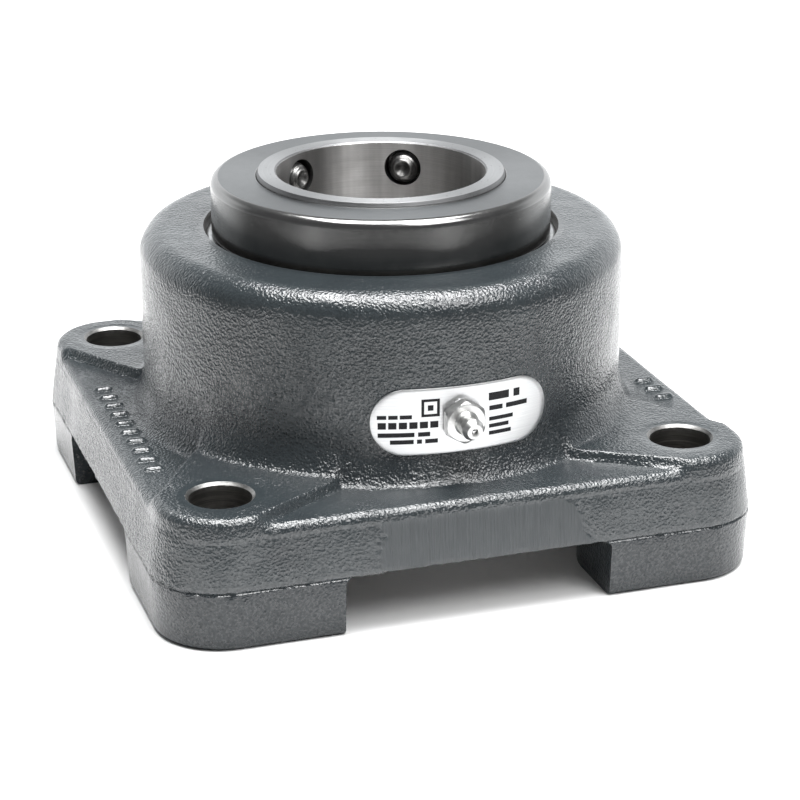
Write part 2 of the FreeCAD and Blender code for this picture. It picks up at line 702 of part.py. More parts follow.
def main():
    parts = {
        "housing": housing(),
        "front_outer_cup": outer_cup(1),
        "rear_outer_cup": outer_cup(-1),
        "cup_spacer": cup_spacer(),
        "front_rollers": Part.makeCompound(roller_row(1, -RUNNING_GAP / 2, -RUNNING_GAP)),
        "rear_rollers": Part.makeCompound(roller_row(-1, -RUNNING_GAP / 2, -RUNNING_GAP)),
        "front_cage": cage(1),
        "rear_cage": cage(-1),
        "inner_ring": inner_ring(),
        "locking_collar": locking_collar(),
        "adjusting_shim": adjusting_shim(),
        "snap_ring": snap_ring(),
        "front_seal_case": seal_case(FRONT_SEAL_FACE, -1, FRONT_SEAL_RADIUS - 0.02),
        "front_seal_lip": seal_lip(FRONT_SEAL_FACE, -1),
        "front_garter_spring": garter_spring(FRONT_SEAL_FACE, -1),
        "rear_seal_case": seal_case(REAR_SEAL_FACE, 1, CUP_RADIUS - 0.02),
        "rear_seal_lip": seal_lip(REAR_SEAL_FACE, 1),
        "rear_garter_spring": garter_spring(REAR_SEAL_FACE, 1),
        "nameplate": nameplate(),
        "grease_fitting": grease_fitting(),
        "grease_ball": grease_ball(),
        "grease_spring": grease_spring(),
    }
    for name, angle in SCREW_ANGLES.items():
        parts[name] = set_screw(angle)
    os.makedirs("parts", exist_ok=True)
    for name, shape in parts.items():
        shape.exportStep(f"parts/{name}.step")
        print(f"{name}: {len(shape.Solids)} solid(s), {shape.Volume / 1000:.2f} cm3, valid {shape.isValid()}")


main()
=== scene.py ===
"""Square flange-mount bearing unit: cast housing, bearing with locking collar, nameplate and grease fitting.

Shapes are worked out in millimetres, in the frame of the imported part. A mesh is in metres.
"""

import json
import math

import bpy
import bmesh
import numpy as np
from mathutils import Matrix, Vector, noise


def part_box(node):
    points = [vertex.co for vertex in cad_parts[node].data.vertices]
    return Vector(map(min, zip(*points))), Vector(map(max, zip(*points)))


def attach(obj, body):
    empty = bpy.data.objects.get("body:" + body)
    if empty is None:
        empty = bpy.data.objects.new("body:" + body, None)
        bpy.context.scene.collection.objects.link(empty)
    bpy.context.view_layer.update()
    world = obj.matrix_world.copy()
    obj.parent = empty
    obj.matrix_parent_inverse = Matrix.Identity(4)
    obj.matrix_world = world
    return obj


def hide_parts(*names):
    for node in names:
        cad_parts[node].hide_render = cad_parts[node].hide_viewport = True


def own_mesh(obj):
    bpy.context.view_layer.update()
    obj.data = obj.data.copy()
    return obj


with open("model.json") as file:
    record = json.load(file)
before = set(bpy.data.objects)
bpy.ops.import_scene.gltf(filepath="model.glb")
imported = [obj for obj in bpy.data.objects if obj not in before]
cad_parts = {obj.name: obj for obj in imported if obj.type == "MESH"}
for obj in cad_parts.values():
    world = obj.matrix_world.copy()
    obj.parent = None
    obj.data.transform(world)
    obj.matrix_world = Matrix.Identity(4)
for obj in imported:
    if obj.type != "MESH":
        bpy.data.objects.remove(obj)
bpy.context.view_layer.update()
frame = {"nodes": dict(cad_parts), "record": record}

MM = 0.001
TAU = 2 * math.pi
MOUNTS = {mount["name"]: mount for mount in frame["record"]["mounts"]}


def node_box(node):
    """Lowest and highest corners of a CAD node, in millimetres."""
    low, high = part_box(node)
    return np.array(low) / MM, np.array(high) / MM


# Sizes read from the frame

HOUSING_LOW, HOUSING_HIGH = node_box("housing")
COLLAR_LOW, COLLAR_HIGH = node_box("locking_collar")
RING_LOW, RING_HIGH = node_box("inner_ring")
CASE_LOW, CASE_HIGH = node_box("front_seal_case")
PLATE_LOW, PLATE_HIGH = node_box("nameplate")
FITTING_LOW, FITTING_HIGH = node_box("grease_fitting")
LEFT_LOW, LEFT_HIGH = node_box("set_screw_left")

BOLT_OFFSET = MOUNTS["bolt_holes"]["dims"]["spacing_x_mm"] / 2
BOLT_HOLE_RADIUS = MOUNTS["bolt_holes"]["dims"]["hole_r_mm"]
BORE_RADIUS = MOUNTS["shaft_bore"]["dims"]["r_mm"]
HOLE_DISTANCE = BOLT_OFFSET * math.sqrt(2)

# Housing casting

PARTING_HEIGHT = 17.3
PARTING_HALF_WIDTH = HOUSING_HIGH[0]
FOOT_HALF_WIDTH = PARTING_HALF_WIDTH - 0.9
DRAFT = math.radians(7.9)
FACET_HEIGHT = 34.7
PAD_HEIGHT = 37.5
PAD_HALF_WIDTH = 18.0
PAD_TAPER = 0.236
PAD_STEP = 2.4
EDGE_ROUND = 2.8
FOOT_EDGE_ROUND = 1.6
BOSS_RADIUS = 71.7
BOSS_TOP = HOUSING_HIGH[2]
BOSS_TOP_ROUND = 7.0
# Fillet at the boss's foot as distance out from the boss and rise above the flange
BASE_FILLET = [(0, 8.3), (0.4, 6.7), (1.15, 4.7), (2.0, 2.9), (2.65, 1.75), (3.2, 0.95), (3.75, 0.4),
               (4.4, 0.1), (5.2, 0.0)]
CUP_RADIUS = 56.0
GROOVE_RADIUS = 58.5
GROOVE_ENDS = (24.85, 27.3)
SHOULDER_RADIUS = 50.0
SEAL_BORE_RADIUS = 52.0
MOUTH_RADIUS = 52.7
MOUTH_DEPTH = 1.2
CHANNEL_HALF_WIDTH = 39.0
RECESS_RADIUS = 69.0
FOOT_INNER_ROUND = 24.0
CHANNEL_TOP_ROUND = 2.2
BOLT_CHAMFER = 0.8
PAD_EDGE_REACH = 107.0
SOFT_STEP = 16.0
COLUMNS = 704
CROWD_WIDTH = 1.7
CROWD_SHARES = (0.26, 0.39)
# The crease along the parting line as rise above it and inset
PARTING_GROOVE = [(0.3, 0.14), (0.05, 0.38), (-0.25, 0.32), (-0.55, 0.08)]
SHOULDER_HEIGHT = 77.3
SEAL_SHELF = 80.0
GROUND_ZONE = (-28.5, 26.5)
FOOT_ROUGHNESS = 0.7
FOOT_SHADE = 1.4
SIDE_ROUGHNESS = 0.25
LEFT_RIGHT_ROUGHNESS = 1.8
CROWN_ROUGHNESS = 0.72
TOP_ROUGHNESS = 0.9

# Collar, inner ring and set screws

SLEEVE_RADIUS = 36.72
COLLAR_RADIUS = COLLAR_HIGH[0]
COLLAR_EDGE_ROUND = 2.5
SCREW_RADIUS = 0.375 * 25.4 / 2
SCREW_PITCH = 25.4 / 16
THREAD_DEPTH = 0.95
SCREW_LENGTH = 0.625 * 25.4
SCREW_HEIGHT = (LEFT_LOW[2] + LEFT_HIGH[2]) / 2
SCREW_DROP = 0.5
RING_HOLE_DROP = 0.25
SCREW_TIP_DISTANCE = 29.9
SCREW_RING_HOLE = 5.55
SCREW_FLATS = 0.1875 * 25.4
SOCKET_CHAMFER = 0.7
# Loops of the cup point as radius, distance from the tip and how bright it is rubbed
CUP_POINT = [(0.0, 1.6, 0.0), (0.4, 1.55, 0.0), (1.3, 0.9, 0.0), (2.15, 0.25, 0.1), (2.35, 0.06, 0.6),
             (2.55, 0.0, 0.9), (2.75, 0.05, 0.8)]
SCREW_ANGLES = {"left": math.radians(124.4), "right": math.radians(59.4)}

# Nameplate and grease fitting, on the -Y side

GREASE_HEIGHT = (PLATE_LOW[2] + PLATE_HIGH[2]) / 2
PLATE_RADIUS = -PLATE_LOW[1]
PLATE_HALF_LENGTH = PLATE_RADIUS * math.asin(PLATE_HIGH[0] / PLATE_RADIUS)
PLATE_HALF_HEIGHT = (PLATE_HIGH[2] - PLATE_LOW[2]) / 2
PLATE_HOLE = 5.2
PLATE_SHIFT = 0.5
TAPPED_HOLE = 4.95
GREASE_HOLE = 2.2
HEX_SEAT = PLATE_RADIUS + 0.05
HEX_FLATS = 0.4375 * 25.4
HEX_HEIGHT = 3.5
FITTING_TIP = -FITTING_LOW[1]
SPRING_WIRE = 0.2
SPRING_TURNS = 5


# Mesh helpers

def rounded(corners, step=math.radians(11)):
    """Closed outline through (x, y, rounding) corners, with each rounding as an arc."""
    points = []
    for index, (x, y, rounding) in enumerate(corners):
        corner = Vector((x, y))
        if rounding == 0:
            points.append(corner)
            continue
        before = (Vector(corners[index - 1][:2]) - corner).normalized()
        after = (Vector(corners[(index + 1) % len(corners)][:2]) - corner).normalized()
        half = before.angle(after) / 2
        centre = corner + (before + after).normalized() * rounding / math.sin(half)
        start = corner + before * rounding / math.tan(half) - centre
        end = corner + after * rounding / math.tan(half) - centre
        turn = start.angle_signed(end)
        steps = max(2, math.ceil(abs(turn) / step))
        for k in range(steps + 1):
            angle = math.atan2(start.y, start.x) - turn * k / steps
            points.append(centre + Vector((math.cos(angle), math.sin(angle))) * rounding)
    return points


def with_supports(points, reach=0.25, shortest=1.0):
    """The outline with a point near both ends of each long straight run, which keeps its shading flat."""
    result = []
    for index, point in enumerate(points):
        following = points[(index + 1) % len(points)]
        result.append(point)
        run = following - point
        if run.length > shortest:
            result += [point + run * (reach / run.length), following - run * (reach / run.length)]
    return result


def finish_mesh(name, vertices, faces, smooth_angle=32, masks=None):
    """A Blender object from millimetre vertices, with outward normals and sharp edges by angle."""
    mesh = bpy.data.meshes.new(name)
    mesh.from_pydata([tuple(np.asarray(v, float) * MM) for v in vertices], [], faces)
    add_masks(mesh, masks or {})
    work = bmesh.new()
    work.from_mesh(mesh)
    bmesh.ops.remove_doubles(work, verts=work.verts, dist=1e-7)
    bmesh.ops.recalc_face_normals(work, faces=work.faces)
    work.to_mesh(mesh)
    work.free()
    piece = bpy.data.objects.new(name, mesh)
    bpy.context.scene.collection.objects.link(piece)
    sharpen(piece, smooth_angle)
    return piece


def add_masks(mesh, masks):
    """Stores one number for each vertex under each name, for the materials to read."""
    for name, values in masks.items():
        attribute = mesh.attributes.new(name, "FLOAT", "POINT")
        attribute.data.foreach_set("value", np.ravel(values).astype(np.float32))


def sharpen(piece, angle=32):
    piece.data.shade_smooth()
    piece.data.set_sharp_from_angle(angle=math.radians(angle))


def loop_faces(count, loops, closed=False):
    """Quads between successive loops of equally many vertices, and back to the first loop where closed."""
    faces = []
    for i in range(loops if closed else loops - 1):
        upper, lower = i * count, (i + 1) % loops * count
        for k in range(count):
            k2 = (k + 1) % count
            faces.append((upper + k, upper + k2, lower + k2, lower + k))
    return faces


def grid_mesh(name, rows, closed_rows, smooth_angle=32, masks=None):
    """Mesh over rows of equally many points, each row a closed loop. Equal points become a pole."""
    vertices = [point for row in rows for point in row]
    return finish_mesh(name, vertices, loop_faces(len(rows[0]), len(rows), closed_rows), smooth_angle, masks)


def revolved(name, outline, segments=256, smooth_angle=32):
    """Ring about the Z axis from a closed (radius, height) outline."""
    angles = np.arange(segments) * TAU / segments
    rows = [
        np.stack([p[0] * np.cos(angles), p[0] * np.sin(angles), np.full(segments, p[1])], axis=1)
        for p in outline
    ]
    return grid_mesh(name, rows, True, smooth_angle)


def cylinder_cutter(profile, segments, place):
    """Temporary solid about an axis from (radius, distance) points, put in the frame by place()."""
    angles = np.arange(segments) * TAU / segments
    rows = [
        [place(p[0] * math.cos(a), p[0] * math.sin(a), p[1]) for a in angles]
        for p in [(0, profile[0][1]), *profile, (0, profile[-1][1])]
    ]
    return grid_mesh("cutter", rows, False)


def cut(piece, cutters, operation="DIFFERENCE"):
    """Takes the cutters out of the piece or adds them to it, then deletes them."""
    for cutter in cutters:
        modifier = piece.modifiers.new("cut", "BOOLEAN")
        modifier.operation = operation
        modifier.solver = "MANIFOLD"
        modifier.object = cutter
    graph = bpy.context.evaluated_depsgraph_get()
    result = bpy.data.meshes.new_from_object(piece.evaluated_get(graph))
    piece.modifiers.clear()
    old = piece.data
    piece.data = result
    bpy.data.meshes.remove(old)
    for cutter in cutters:
        mesh = cutter.data
        bpy.data.objects.remove(cutter)
        bpy.data.meshes.remove(mesh)


def place_piece(piece, body, slot, materials, *nodes):
    """Puts a piece on its body, with its materials and the CAD nodes it stands for; the record slot is not
    used.
    """
    for material in materials:
        if material.name not in piece.data.materials:
            piece.data.materials.append(material)
    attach(piece, body)
    if nodes:
        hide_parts(*nodes)


def paint_faces(piece, materials, choose):
    """Gives each face the material whose place choose() tells from its radius, height and the face."""
    piece.data.materials.clear()
    for material in materials:
        piece.data.materials.append(material)
    for polygon in piece.data.polygons:
        x, y, z = polygon.center / MM
        polygon.material_index = choose(math.hypot(x, y), z, polygon)


# Materials

class Nodes:
    """Short calls for the nodes of one tree."""

    def __init__(self, tree):
        self.tree = tree

    def node(self, kind, **settings):
        made = self.tree.nodes.new(kind)
        for key, value in settings.items():
            setattr(made, key, value)
        return made

    def feed(self, socket, value):
        if isinstance(value, bpy.types.NodeSocket):
            self.tree.links.new(value, socket)
        else:
            socket.default_value = value

    def made(self, kind, values, **settings):
        """A new node with its first sockets fed in turn."""
        made = self.node(kind, **settings)
        for socket, value in zip(made.inputs, values):
            self.feed(socket, value)
        return made

    def math(self, operation, *values):
        return self.made("ShaderNodeMath", values, operation=operation).outputs[0]

    def times(self, first, second):
        return self.math("MULTIPLY", first, second)

    def plus(self, first, second):
        return self.math("ADD", first, second)

    def span(self, value, from_low, from_high, to_low=0.0, to_high=1.0, **settings):
        values = (value, from_low, from_high, to_low, to_high)
        return self.made("ShaderNodeMapRange", values, clamp=True, **settings).outputs[0]

    def split(self, vector):
        return self.made("ShaderNodeSeparateXYZ", [vector]).outputs


class Surface(Nodes):
    """A principled material with short calls for the nodes that give it texture."""

    def __init__(self, name, roughness=0.4, metallic=0.0, **sockets):
        self.material = bpy.data.materials.new(name)
        self.material.use_nodes = True
        super().__init__(self.material.node_tree)
        self.shader = self.tree.nodes["Principled BSDF"]
        self.shader.inputs["Roughness"].default_value = roughness
        self.shader.inputs["Metallic"].default_value = metallic
        for key, value in sockets.items():
            self.shader.inputs[key.replace("_", " ")].default_value = value
        self.position = self.node("ShaderNodeTexCoord").outputs["Object"]
        self.height = None

    def noise(self, scale, detail=2.0, roughness=0.5, vector=None):
        made = self.node("ShaderNodeTexNoise")
        self.feed(made.inputs["Vector"], vector or self.position)
        for key, value in {"Scale": scale, "Detail": detail, "Roughness": roughness}.items():
            self.feed(made.inputs[key], value)
        return made.outputs["Fac"]

    def lines(self, detail, roughness, x, y, z):
        """Noise drawn out into lines by its own scale along each direction."""
        vector = self.made("ShaderNodeCombineXYZ", (x, y, z)).outputs[0]
        return self.noise(1.0, detail, roughness, vector)

    def cells(self, scale, smoothness):
        made = self.node("ShaderNodeTexVoronoi", feature="SMOOTH_F1")
        for key, value in {"Vector": self.position, "Scale": scale, "Smoothness": smoothness}.items():
            self.feed(made.inputs[key], value)
        return made.outputs["Distance"]

    def attribute(self, name):
        return self.node("ShaderNodeAttribute", attribute_name=name).outputs["Fac"]

    def ramp(self, value, stops):
        made = self.made("ShaderNodeValToRGB", [value])
        elements = made.color_ramp.elements
        while len(elements) < len(stops):
            elements.new(0.5)
        for element, (place, colour) in zip(elements, stops):
            element.position = place
            element.color = (*colour, 1)
        return made.outputs[0]

    def tint(self, value, dark, light):
        """A colour between two over the middle of a noise's range. A single number is a grey."""
        dark, light = ((c, c, c) if isinstance(c, float) else c for c in (dark, light))
        return self.ramp(value, [(0.3, dark), (0.7, light)])

    def mix(self, share, first, second):
        made = self.made("ShaderNodeMix", [share], data_type="RGBA")
        for socket, value in ((made.inputs[6], first), (made.inputs[7], second)):
            self.feed(socket, value if isinstance(value, bpy.types.NodeSocket) else (*value, 1))
        return made.outputs[2]

    def around(self, radius):
        """Distance round the axis at that radius, height, and distance from the axis, in metres."""
        x, y, z = self.split(self.position)
        angle = self.math("ARCTAN2", y, x)
        reach = self.math("SQRT", self.plus(self.times(x, x), self.times(y, y)))
        return self.times(angle, radius), z, reach

    def colour(self, value):
        self.feed(self.shader.inputs["Base Color"], value)

    def roughness(self, value):
        self.feed(self.shader.inputs["Roughness"], value)

    def gloss(self, value, low, high):
        """Roughness from low to high over the middle of a noise's range."""
        self.roughness(self.span(value, 0.3, 0.7, low, high))

    def stretch_across_lines(self, amount):
        """Spreads highlights across tool lines that run round the Z axis."""
        self.shader.inputs["Anisotropic"].default_value = amount
        self.shader.inputs["Anisotropic Rotation"].default_value = 0.25
        tangent = self.node("ShaderNodeTangent", direction_type="RADIAL", axis="Z")
        self.feed(self.shader.inputs["Tangent"], tangent.outputs[0])

    def bump(self, height, distance):
        made = self.node("ShaderNodeBump")
        made.inputs["Distance"].default_value = distance
        self.feed(made.inputs["Height"], height)
        if self.height is not None:
            self.feed(made.inputs["Normal"], self.height)
        self.height = made.outputs[0]
        self.feed(self.shader.inputs["Normal"], self.height)


def paint_material():
    """Semi-gloss dark blue-grey paint over sand-cast iron, smooth where the gate was ground off."""
    s = Surface("painted_cast_iron", 0.25)
    ground = s.attribute("ground")
    lumps = s.cells(1250, 0.55)
    pits = s.noise(1350)
    grain = s.noise(560)
    shade = s.noise(55, 4, 0.6)
    fine = s.noise(900, 3, 0.6)
    base = s.ramp(s.plus(s.times(shade, 0.6), s.times(fine, 0.4)), [
        (0.3, (0.018, 0.022, 0.025)), (0.55, (0.024, 0.030, 0.033)), (0.75, (0.030, 0.036, 0.040)),
    ])
    # Dark specks in the dips of the bump texture: dirt in the pits and painted shade
    base = s.mix(s.span(pits, 0.36, 0.62, 0.2, 0.0), base, (0.009, 0.011, 0.013))
    painted_shade_share = s.attribute("painted_shade")
    # Painted shade: the paint is darkened round the boss's foot and over the feet by this mask
    base = s.mix(s.times(painted_shade_share, 0.55), base, (0.014, 0.0175, 0.0205))
    x, y, z = s.split(s.position)
    streaks = s.lines(3, 0.7, s.times(x, 1900), 0.0, s.times(z, 45))
    s.colour(s.mix(ground, base, s.tint(streaks, (0.017, 0.022, 0.025), (0.034, 0.041, 0.045))))
    texture = s.plus(s.plus(s.times(lumps, 0.5), s.times(pits, 0.95)), s.times(grain, 0.4))
    s.bump(s.times(texture, s.attribute("rough")), 0.00042)
    s.bump(s.times(streaks, ground), 0.00045)
    shine = s.times(s.span(pits, 0.34, 0.64, -0.16, 0.16), s.math("SUBTRACT", 1.0, ground))
    # The feet, darkened as painted shade, also get less specular
    shine = s.plus(shine, s.span(painted_shade_share, 1.1, 1.3, 0.74, 0.54))
    s.feed(s.shader.inputs["Specular IOR Level"], shine)
    gloss = s.span(s.noise(240, 3, 0.6), 0.3, 0.7, 0.11, 0.20)
    s.roughness(s.plus(gloss, s.times(ground, 0.2)))
    return s.material


def bare_iron_material():
    """Drilled and chamfered iron, bright on the chamfer and darker down the hole."""
    s = Surface("drilled_iron", 0.34, 1.0)
    x, y, z = s.split(s.position)
    depth = s.span(z, (PAD_HEIGHT - 2.4) * MM, (PAD_HEIGHT - 1.0) * MM)
    rings = s.lines(3, 0.7, s.times(x, 60), s.times(y, 60), s.times(z, 2600))
    wall = s.tint(rings, (0.14, 0.136, 0.13), (0.32, 0.31, 0.295))
    rim = s.tint(s.noise(900, 3, 0.6), (0.18, 0.18, 0.176), (0.33, 0.326, 0.318))
    s.colour(s.mix(depth, wall, rim))
    s.gloss(rings, 0.30, 0.48)
    s.bump(rings, 0.00008)
    return s.material


def turned_steel_material(name, radius, dark, light, roughness, across_face=False, strength=0.00002, worn=0.0,
                          stretch=0.0, painted_reflection_bands=0.0):
    """Turned or ground steel, with fine tool lines round the axis and faint handling marks. An amount for
    bands paints reflections as light and dark stripes along the axis.
    """
    s = Surface(name, roughness, 1.0)
    if stretch:
        s.stretch_across_lines(stretch)
    around, z, reach = s.around(radius)
    lines = s.lines(4, 0.75, s.times(around, 16), s.times(reach if across_face else z, 5200), 0.0)
    cloud = s.noise(60, 4, 0.6)
    marks = s.noise(240, 5, 0.7)
    tone = s.plus(s.times(lines, 0.55), s.times(cloud, 0.45))
    # Painted reflection: random light and dark stripes along the axis
    if painted_reflection_bands:
        reflection_stripes = s.lines(3, 0.6, s.times(around, 110), s.times(z, 4), 0.0)
        tone = s.plus(tone, s.times(s.math("SUBTRACT", reflection_stripes, 0.5), painted_reflection_bands))
    base = s.ramp(tone, [(0.32, dark), (0.68, light)])
    nicks = s.span(s.noise(1300), 0.68, 0.74)
    s.colour(s.mix(s.times(nicks, worn), base, tuple(0.25 * c for c in dark)))
    spread = s.plus(s.times(lines, 0.10), s.times(marks, 0.12))
    s.roughness(s.plus(spread, roughness - 0.11))
    s.bump(lines, strength)
    if worn:
        s.bump(s.times(nicks, -1.0), 0.00005 * worn)
    return s.material


def bearing_steel_material():
    s = Surface("bearing_steel", 0.2, 1.0)
    cloud = s.noise(150, 4, 0.6)
    s.colour(s.tint(cloud, 0.50, (0.66, 0.66, 0.65)))
    s.gloss(cloud, 0.16, 0.28)
    s.bump(s.noise(2200), 0.000006)
    return s.material


def pressed_steel_material(name, dark, light, roughness):
    """Pressed sheet or drawn wire with a faint oily mottle."""
    s = Surface(name, roughness, 1.0)
    s.colour(s.tint(s.noise(260, 5, 0.65), dark, light))
    s.gloss(s.noise(420, 3, 0.6), roughness - 0.07, roughness + 0.09)
    s.bump(s.noise(1400, 3, 0.6), 0.00002)
    return s.material


def black_oxide_material():
    """Black oxide on the screws, rubbed bright along the crests and the cup's edge."""
    s = Surface("black_oxide_steel", 0.3, 1.0)
    rub = s.attribute("rub")
    mottle = s.noise(900, 4, 0.6)
    black = s.tint(mottle, (0.10, 0.099, 0.097), (0.19, 0.188, 0.184))
    bright = s.tint(mottle, (0.25, 0.248, 0.242), (0.42, 0.414, 0.405))
    s.colour(s.mix(s.times(rub, 0.75), black, bright))
    s.gloss(mottle, 0.28, 0.44)
    s.bump(mottle, 0.00003)
    return s.material


def rubber_material():
    s = Surface("nitrile_rubber", 0.6)
    mottle = s.noise(700, 4, 0.6)
    s.colour(s.tint(mottle, 0.010, 0.022))
    s.gloss(mottle, 0.5, 0.68)
    s.bump(mottle, 0.00003)
    return s.material


def aluminium_material():
    """Thin aluminium plate, brushed lengthwise."""
    s = Surface("brushed_aluminium", 0.34, 1.0)
    around, z, _ = s.around(PLATE_RADIUS * MM)
    brush = s.lines(4, 0.75, s.times(around, 55), s.times(z, 5200), 0.0)
    s.colour(s.tint(brush, (0.53, 0.54, 0.55), 0.71))
    s.gloss(brush, 0.28, 0.44)
    s.bump(brush, 0.00002)
    return s.material


def ink_material():
    s = Surface("printed_ink", 0.45, Specular_IOR_Level=0.15)
    speck = s.noise(2600, 3, 0.6)
    s.colour(s.ramp(speck, [(0.3, (0.006, 0.006, 0.007)), (0.75, (0.022, 0.022, 0.024))]))
    s.gloss(speck, 0.38, 0.55)
    s.bump(speck, 0.000006)
    return s.material


def zinc_material():
    """Bright zinc plate with fine turning lines about the fitting's own axis."""
    s = Surface("bright_zinc", 0.26, 1.0)
    x, y, z = s.split(s.position)
    mottle = s.noise(700, 4, 0.6)
    s.colour(s.tint(mottle, (0.50, 0.50, 0.495), (0.64, 0.64, 0.63)))
    lines = s.lines(3, 0.7, s.times(x, 120), s.times(y, 4200), s.times(z, 120))
    s.gloss(mottle, 0.30, 0.35)
    s.bump(lines, 0.000002)
    return s.material


def floor_material():
    s = Surface("pale_floor", 0.85)
    s.colour(s.tint(s.noise(3), 0.80, 0.82))
    return s.material


PAINT = paint_material()
BARE_IRON = bare_iron_material()
BORED_IRON = turned_steel_material(
    "bored_iron", 0.052, (0.16, 0.155, 0.15), (0.30, 0.29, 0.28), 0.38, strength=0.00003)
COLLAR_SIDE = turned_steel_material(
    "collar_side_steel", 0.050, (0.115, 0.115, 0.115), (0.19, 0.19, 0.185), 0.24,
    strength=0.000014, stretch=0.3)
COLLAR_FACE = turned_steel_material(
    "collar_face_steel", 0.045, (0.105, 0.113, 0.117), (0.150, 0.158, 0.163), 0.34, True, 0.000010, 0.3, 0.6)
COLLAR_EDGE = turned_steel_material(
    "collar_edge_steel", 0.050, (0.20, 0.20, 0.20), (0.27, 0.27, 0.265), 0.20, strength=0.000006)
RING_FACE = turned_steel_material(
    "ring_face_steel", 0.034, (0.24, 0.245, 0.25), (0.37, 0.375, 0.38), 0.36, True, worn=1.0, stretch=0.75)
RING_EDGE = turned_steel_material(
    "ring_edge_steel", 0.036, (0.12, 0.122, 0.125), (0.26, 0.262, 0.265), 0.46, strength=0.00004, worn=0.9)
# The bore gets painted reflections as light and dark stripes along the axis
RING_BORE = turned_steel_material(
    "ring_bore_steel", 0.031, (0.40, 0.395, 0.39), (0.66, 0.65, 0.64), 0.34,
    strength=0.000012, worn=0.15, stretch=0.85, painted_reflection_bands=0.9)
DRILLED_RING = turned_steel_material(
    "drilled_ring_steel", 0.031, (0.12, 0.12, 0.12), (0.24, 0.24, 0.24), 0.35)
BEARING_STEEL = bearing_steel_material()
PRESSED_STEEL = pressed_steel_material("pressed_steel", 0.30, 0.46, 0.42)
SPRING_STEEL = pressed_steel_material("spring_steel", 0.09, 0.19, 0.40)
SEAL_STEEL = pressed_steel_material("seal_steel", (0.38, 0.39, 0.39), (0.56, 0.57, 0.58), 0.33)
BLACK_OXIDE = black_oxide_material()
RUBBER = rubber_material()
ALUMINIUM = aluminium_material()
INK = ink_material()
ZINC = zinc_material()
FLOOR = floor_material()


# The cast housing

def square_radius(angle, half_width):
    """Distance from the axis to a rounded square whose corners are concentric with the bolt holes."""
    folded = np.abs((angle + math.pi / 4) % (math.pi / 2) - math.pi / 4)
    cosine, sine = np.cos(folded), np.sin(folded)
    flat = half_width / cosine
    middle = BOLT_OFFSET * (cosine + sine)
    corner = half_width - BOLT_OFFSET
    rounded_part = middle + np.sqrt(np.maximum(corner ** 2 - 2 * BOLT_OFFSET ** 2 + middle ** 2, 0))
    return np.where(flat * sine <= BOLT_OFFSET, flat, rounded_part)


def pad_share(x, y, step):
    """1 on the pads round the bolt holes and 0 on the facets between them, with a smooth step."""
    along = (np.abs(x) + np.abs(y)) / math.sqrt(2)
    across = np.abs(np.abs(x) - np.abs(y)) / math.sqrt(2)
    half = PAD_HALF_WIDTH + (HOLE_DISTANCE - along) * PAD_TAPER
    share = np.clip((half - across) / step + 0.5, 0, 1)
    return share * share * (3 - 2 * share)


# Raised foundry marks on the left and right facets: rows of equal rounded bars, as first place and number

MARK_ROWS = {-1: (-38.0, 10), 1: (-31.0, 3)}
MARK_OFFSET = 80.0
MARK_HALF_LENGTH = 1.5
MARK_PITCH = 7.4
MARK_PROFILE = [(2.0, -0.8), (2.0, 0.0), (1.6, 0.16), (1.35, 0.45), (1.05, 0.78), (0.65, 1.02), (0.2, 1.1)]


def mark_blocks():
    """Temporary solids of the foundry marks, standing in the facets."""
    solids = []
    for side, (first, count) in MARK_ROWS.items():
        for centre in (first + MARK_PITCH * k for k in range(count)):
            def point(radius, height, turn):
                shift = math.copysign(MARK_HALF_LENGTH, math.cos(turn)) if radius else 0.0
                return (side * MARK_OFFSET + shift + radius * math.cos(turn),
                        centre + radius * math.sin(turn), FACET_HEIGHT + height)
            profile = [(0.0, MARK_PROFILE[0][1]), *MARK_PROFILE, (0.0, MARK_PROFILE[-1][1])]
            turns = [TAU * (k + 0.5) / 32 for k in range(32)]
            rows = [[point(radius, height, turn) for turn in turns] for radius, height in profile]
            solids.append(grid_mesh("cutter", rows, False))
    return solids


def flange_top(x, y, step=PAD_STEP):
    return FACET_HEIGHT + (PAD_HEIGHT - FACET_HEIGHT) * pad_share(x, y, step)


def spread_columns(steps, reach):
    """Column angles that crowd beside the pad steps as they stand at a distance from the axis."""
    lean = math.hypot(1.0, PAD_TAPER)
    edge = math.asin((PAD_HALF_WIDTH + HOLE_DISTANCE * PAD_TAPER) / (lean * reach)) - math.atan(PAD_TAPER)
    near = CROWD_WIDTH / reach
    shares = np.array([0.0, *CROWD_SHARES, 1.0])
    places = np.array([0.0, edge - near, edge + near, math.pi / 4])
    eighth = steps * 8
    sector = np.floor(eighth)
    inside = eighth - sector
    from_diagonal = sector % 2 == 1
    share = np.where(from_diagonal, inside, 1 - inside)
    turn = np.interp(share, shares, places)
    return (sector + np.where(from_diagonal, 0, 1)) * math.pi / 4 + np.where(from_diagonal, turn, -turn)


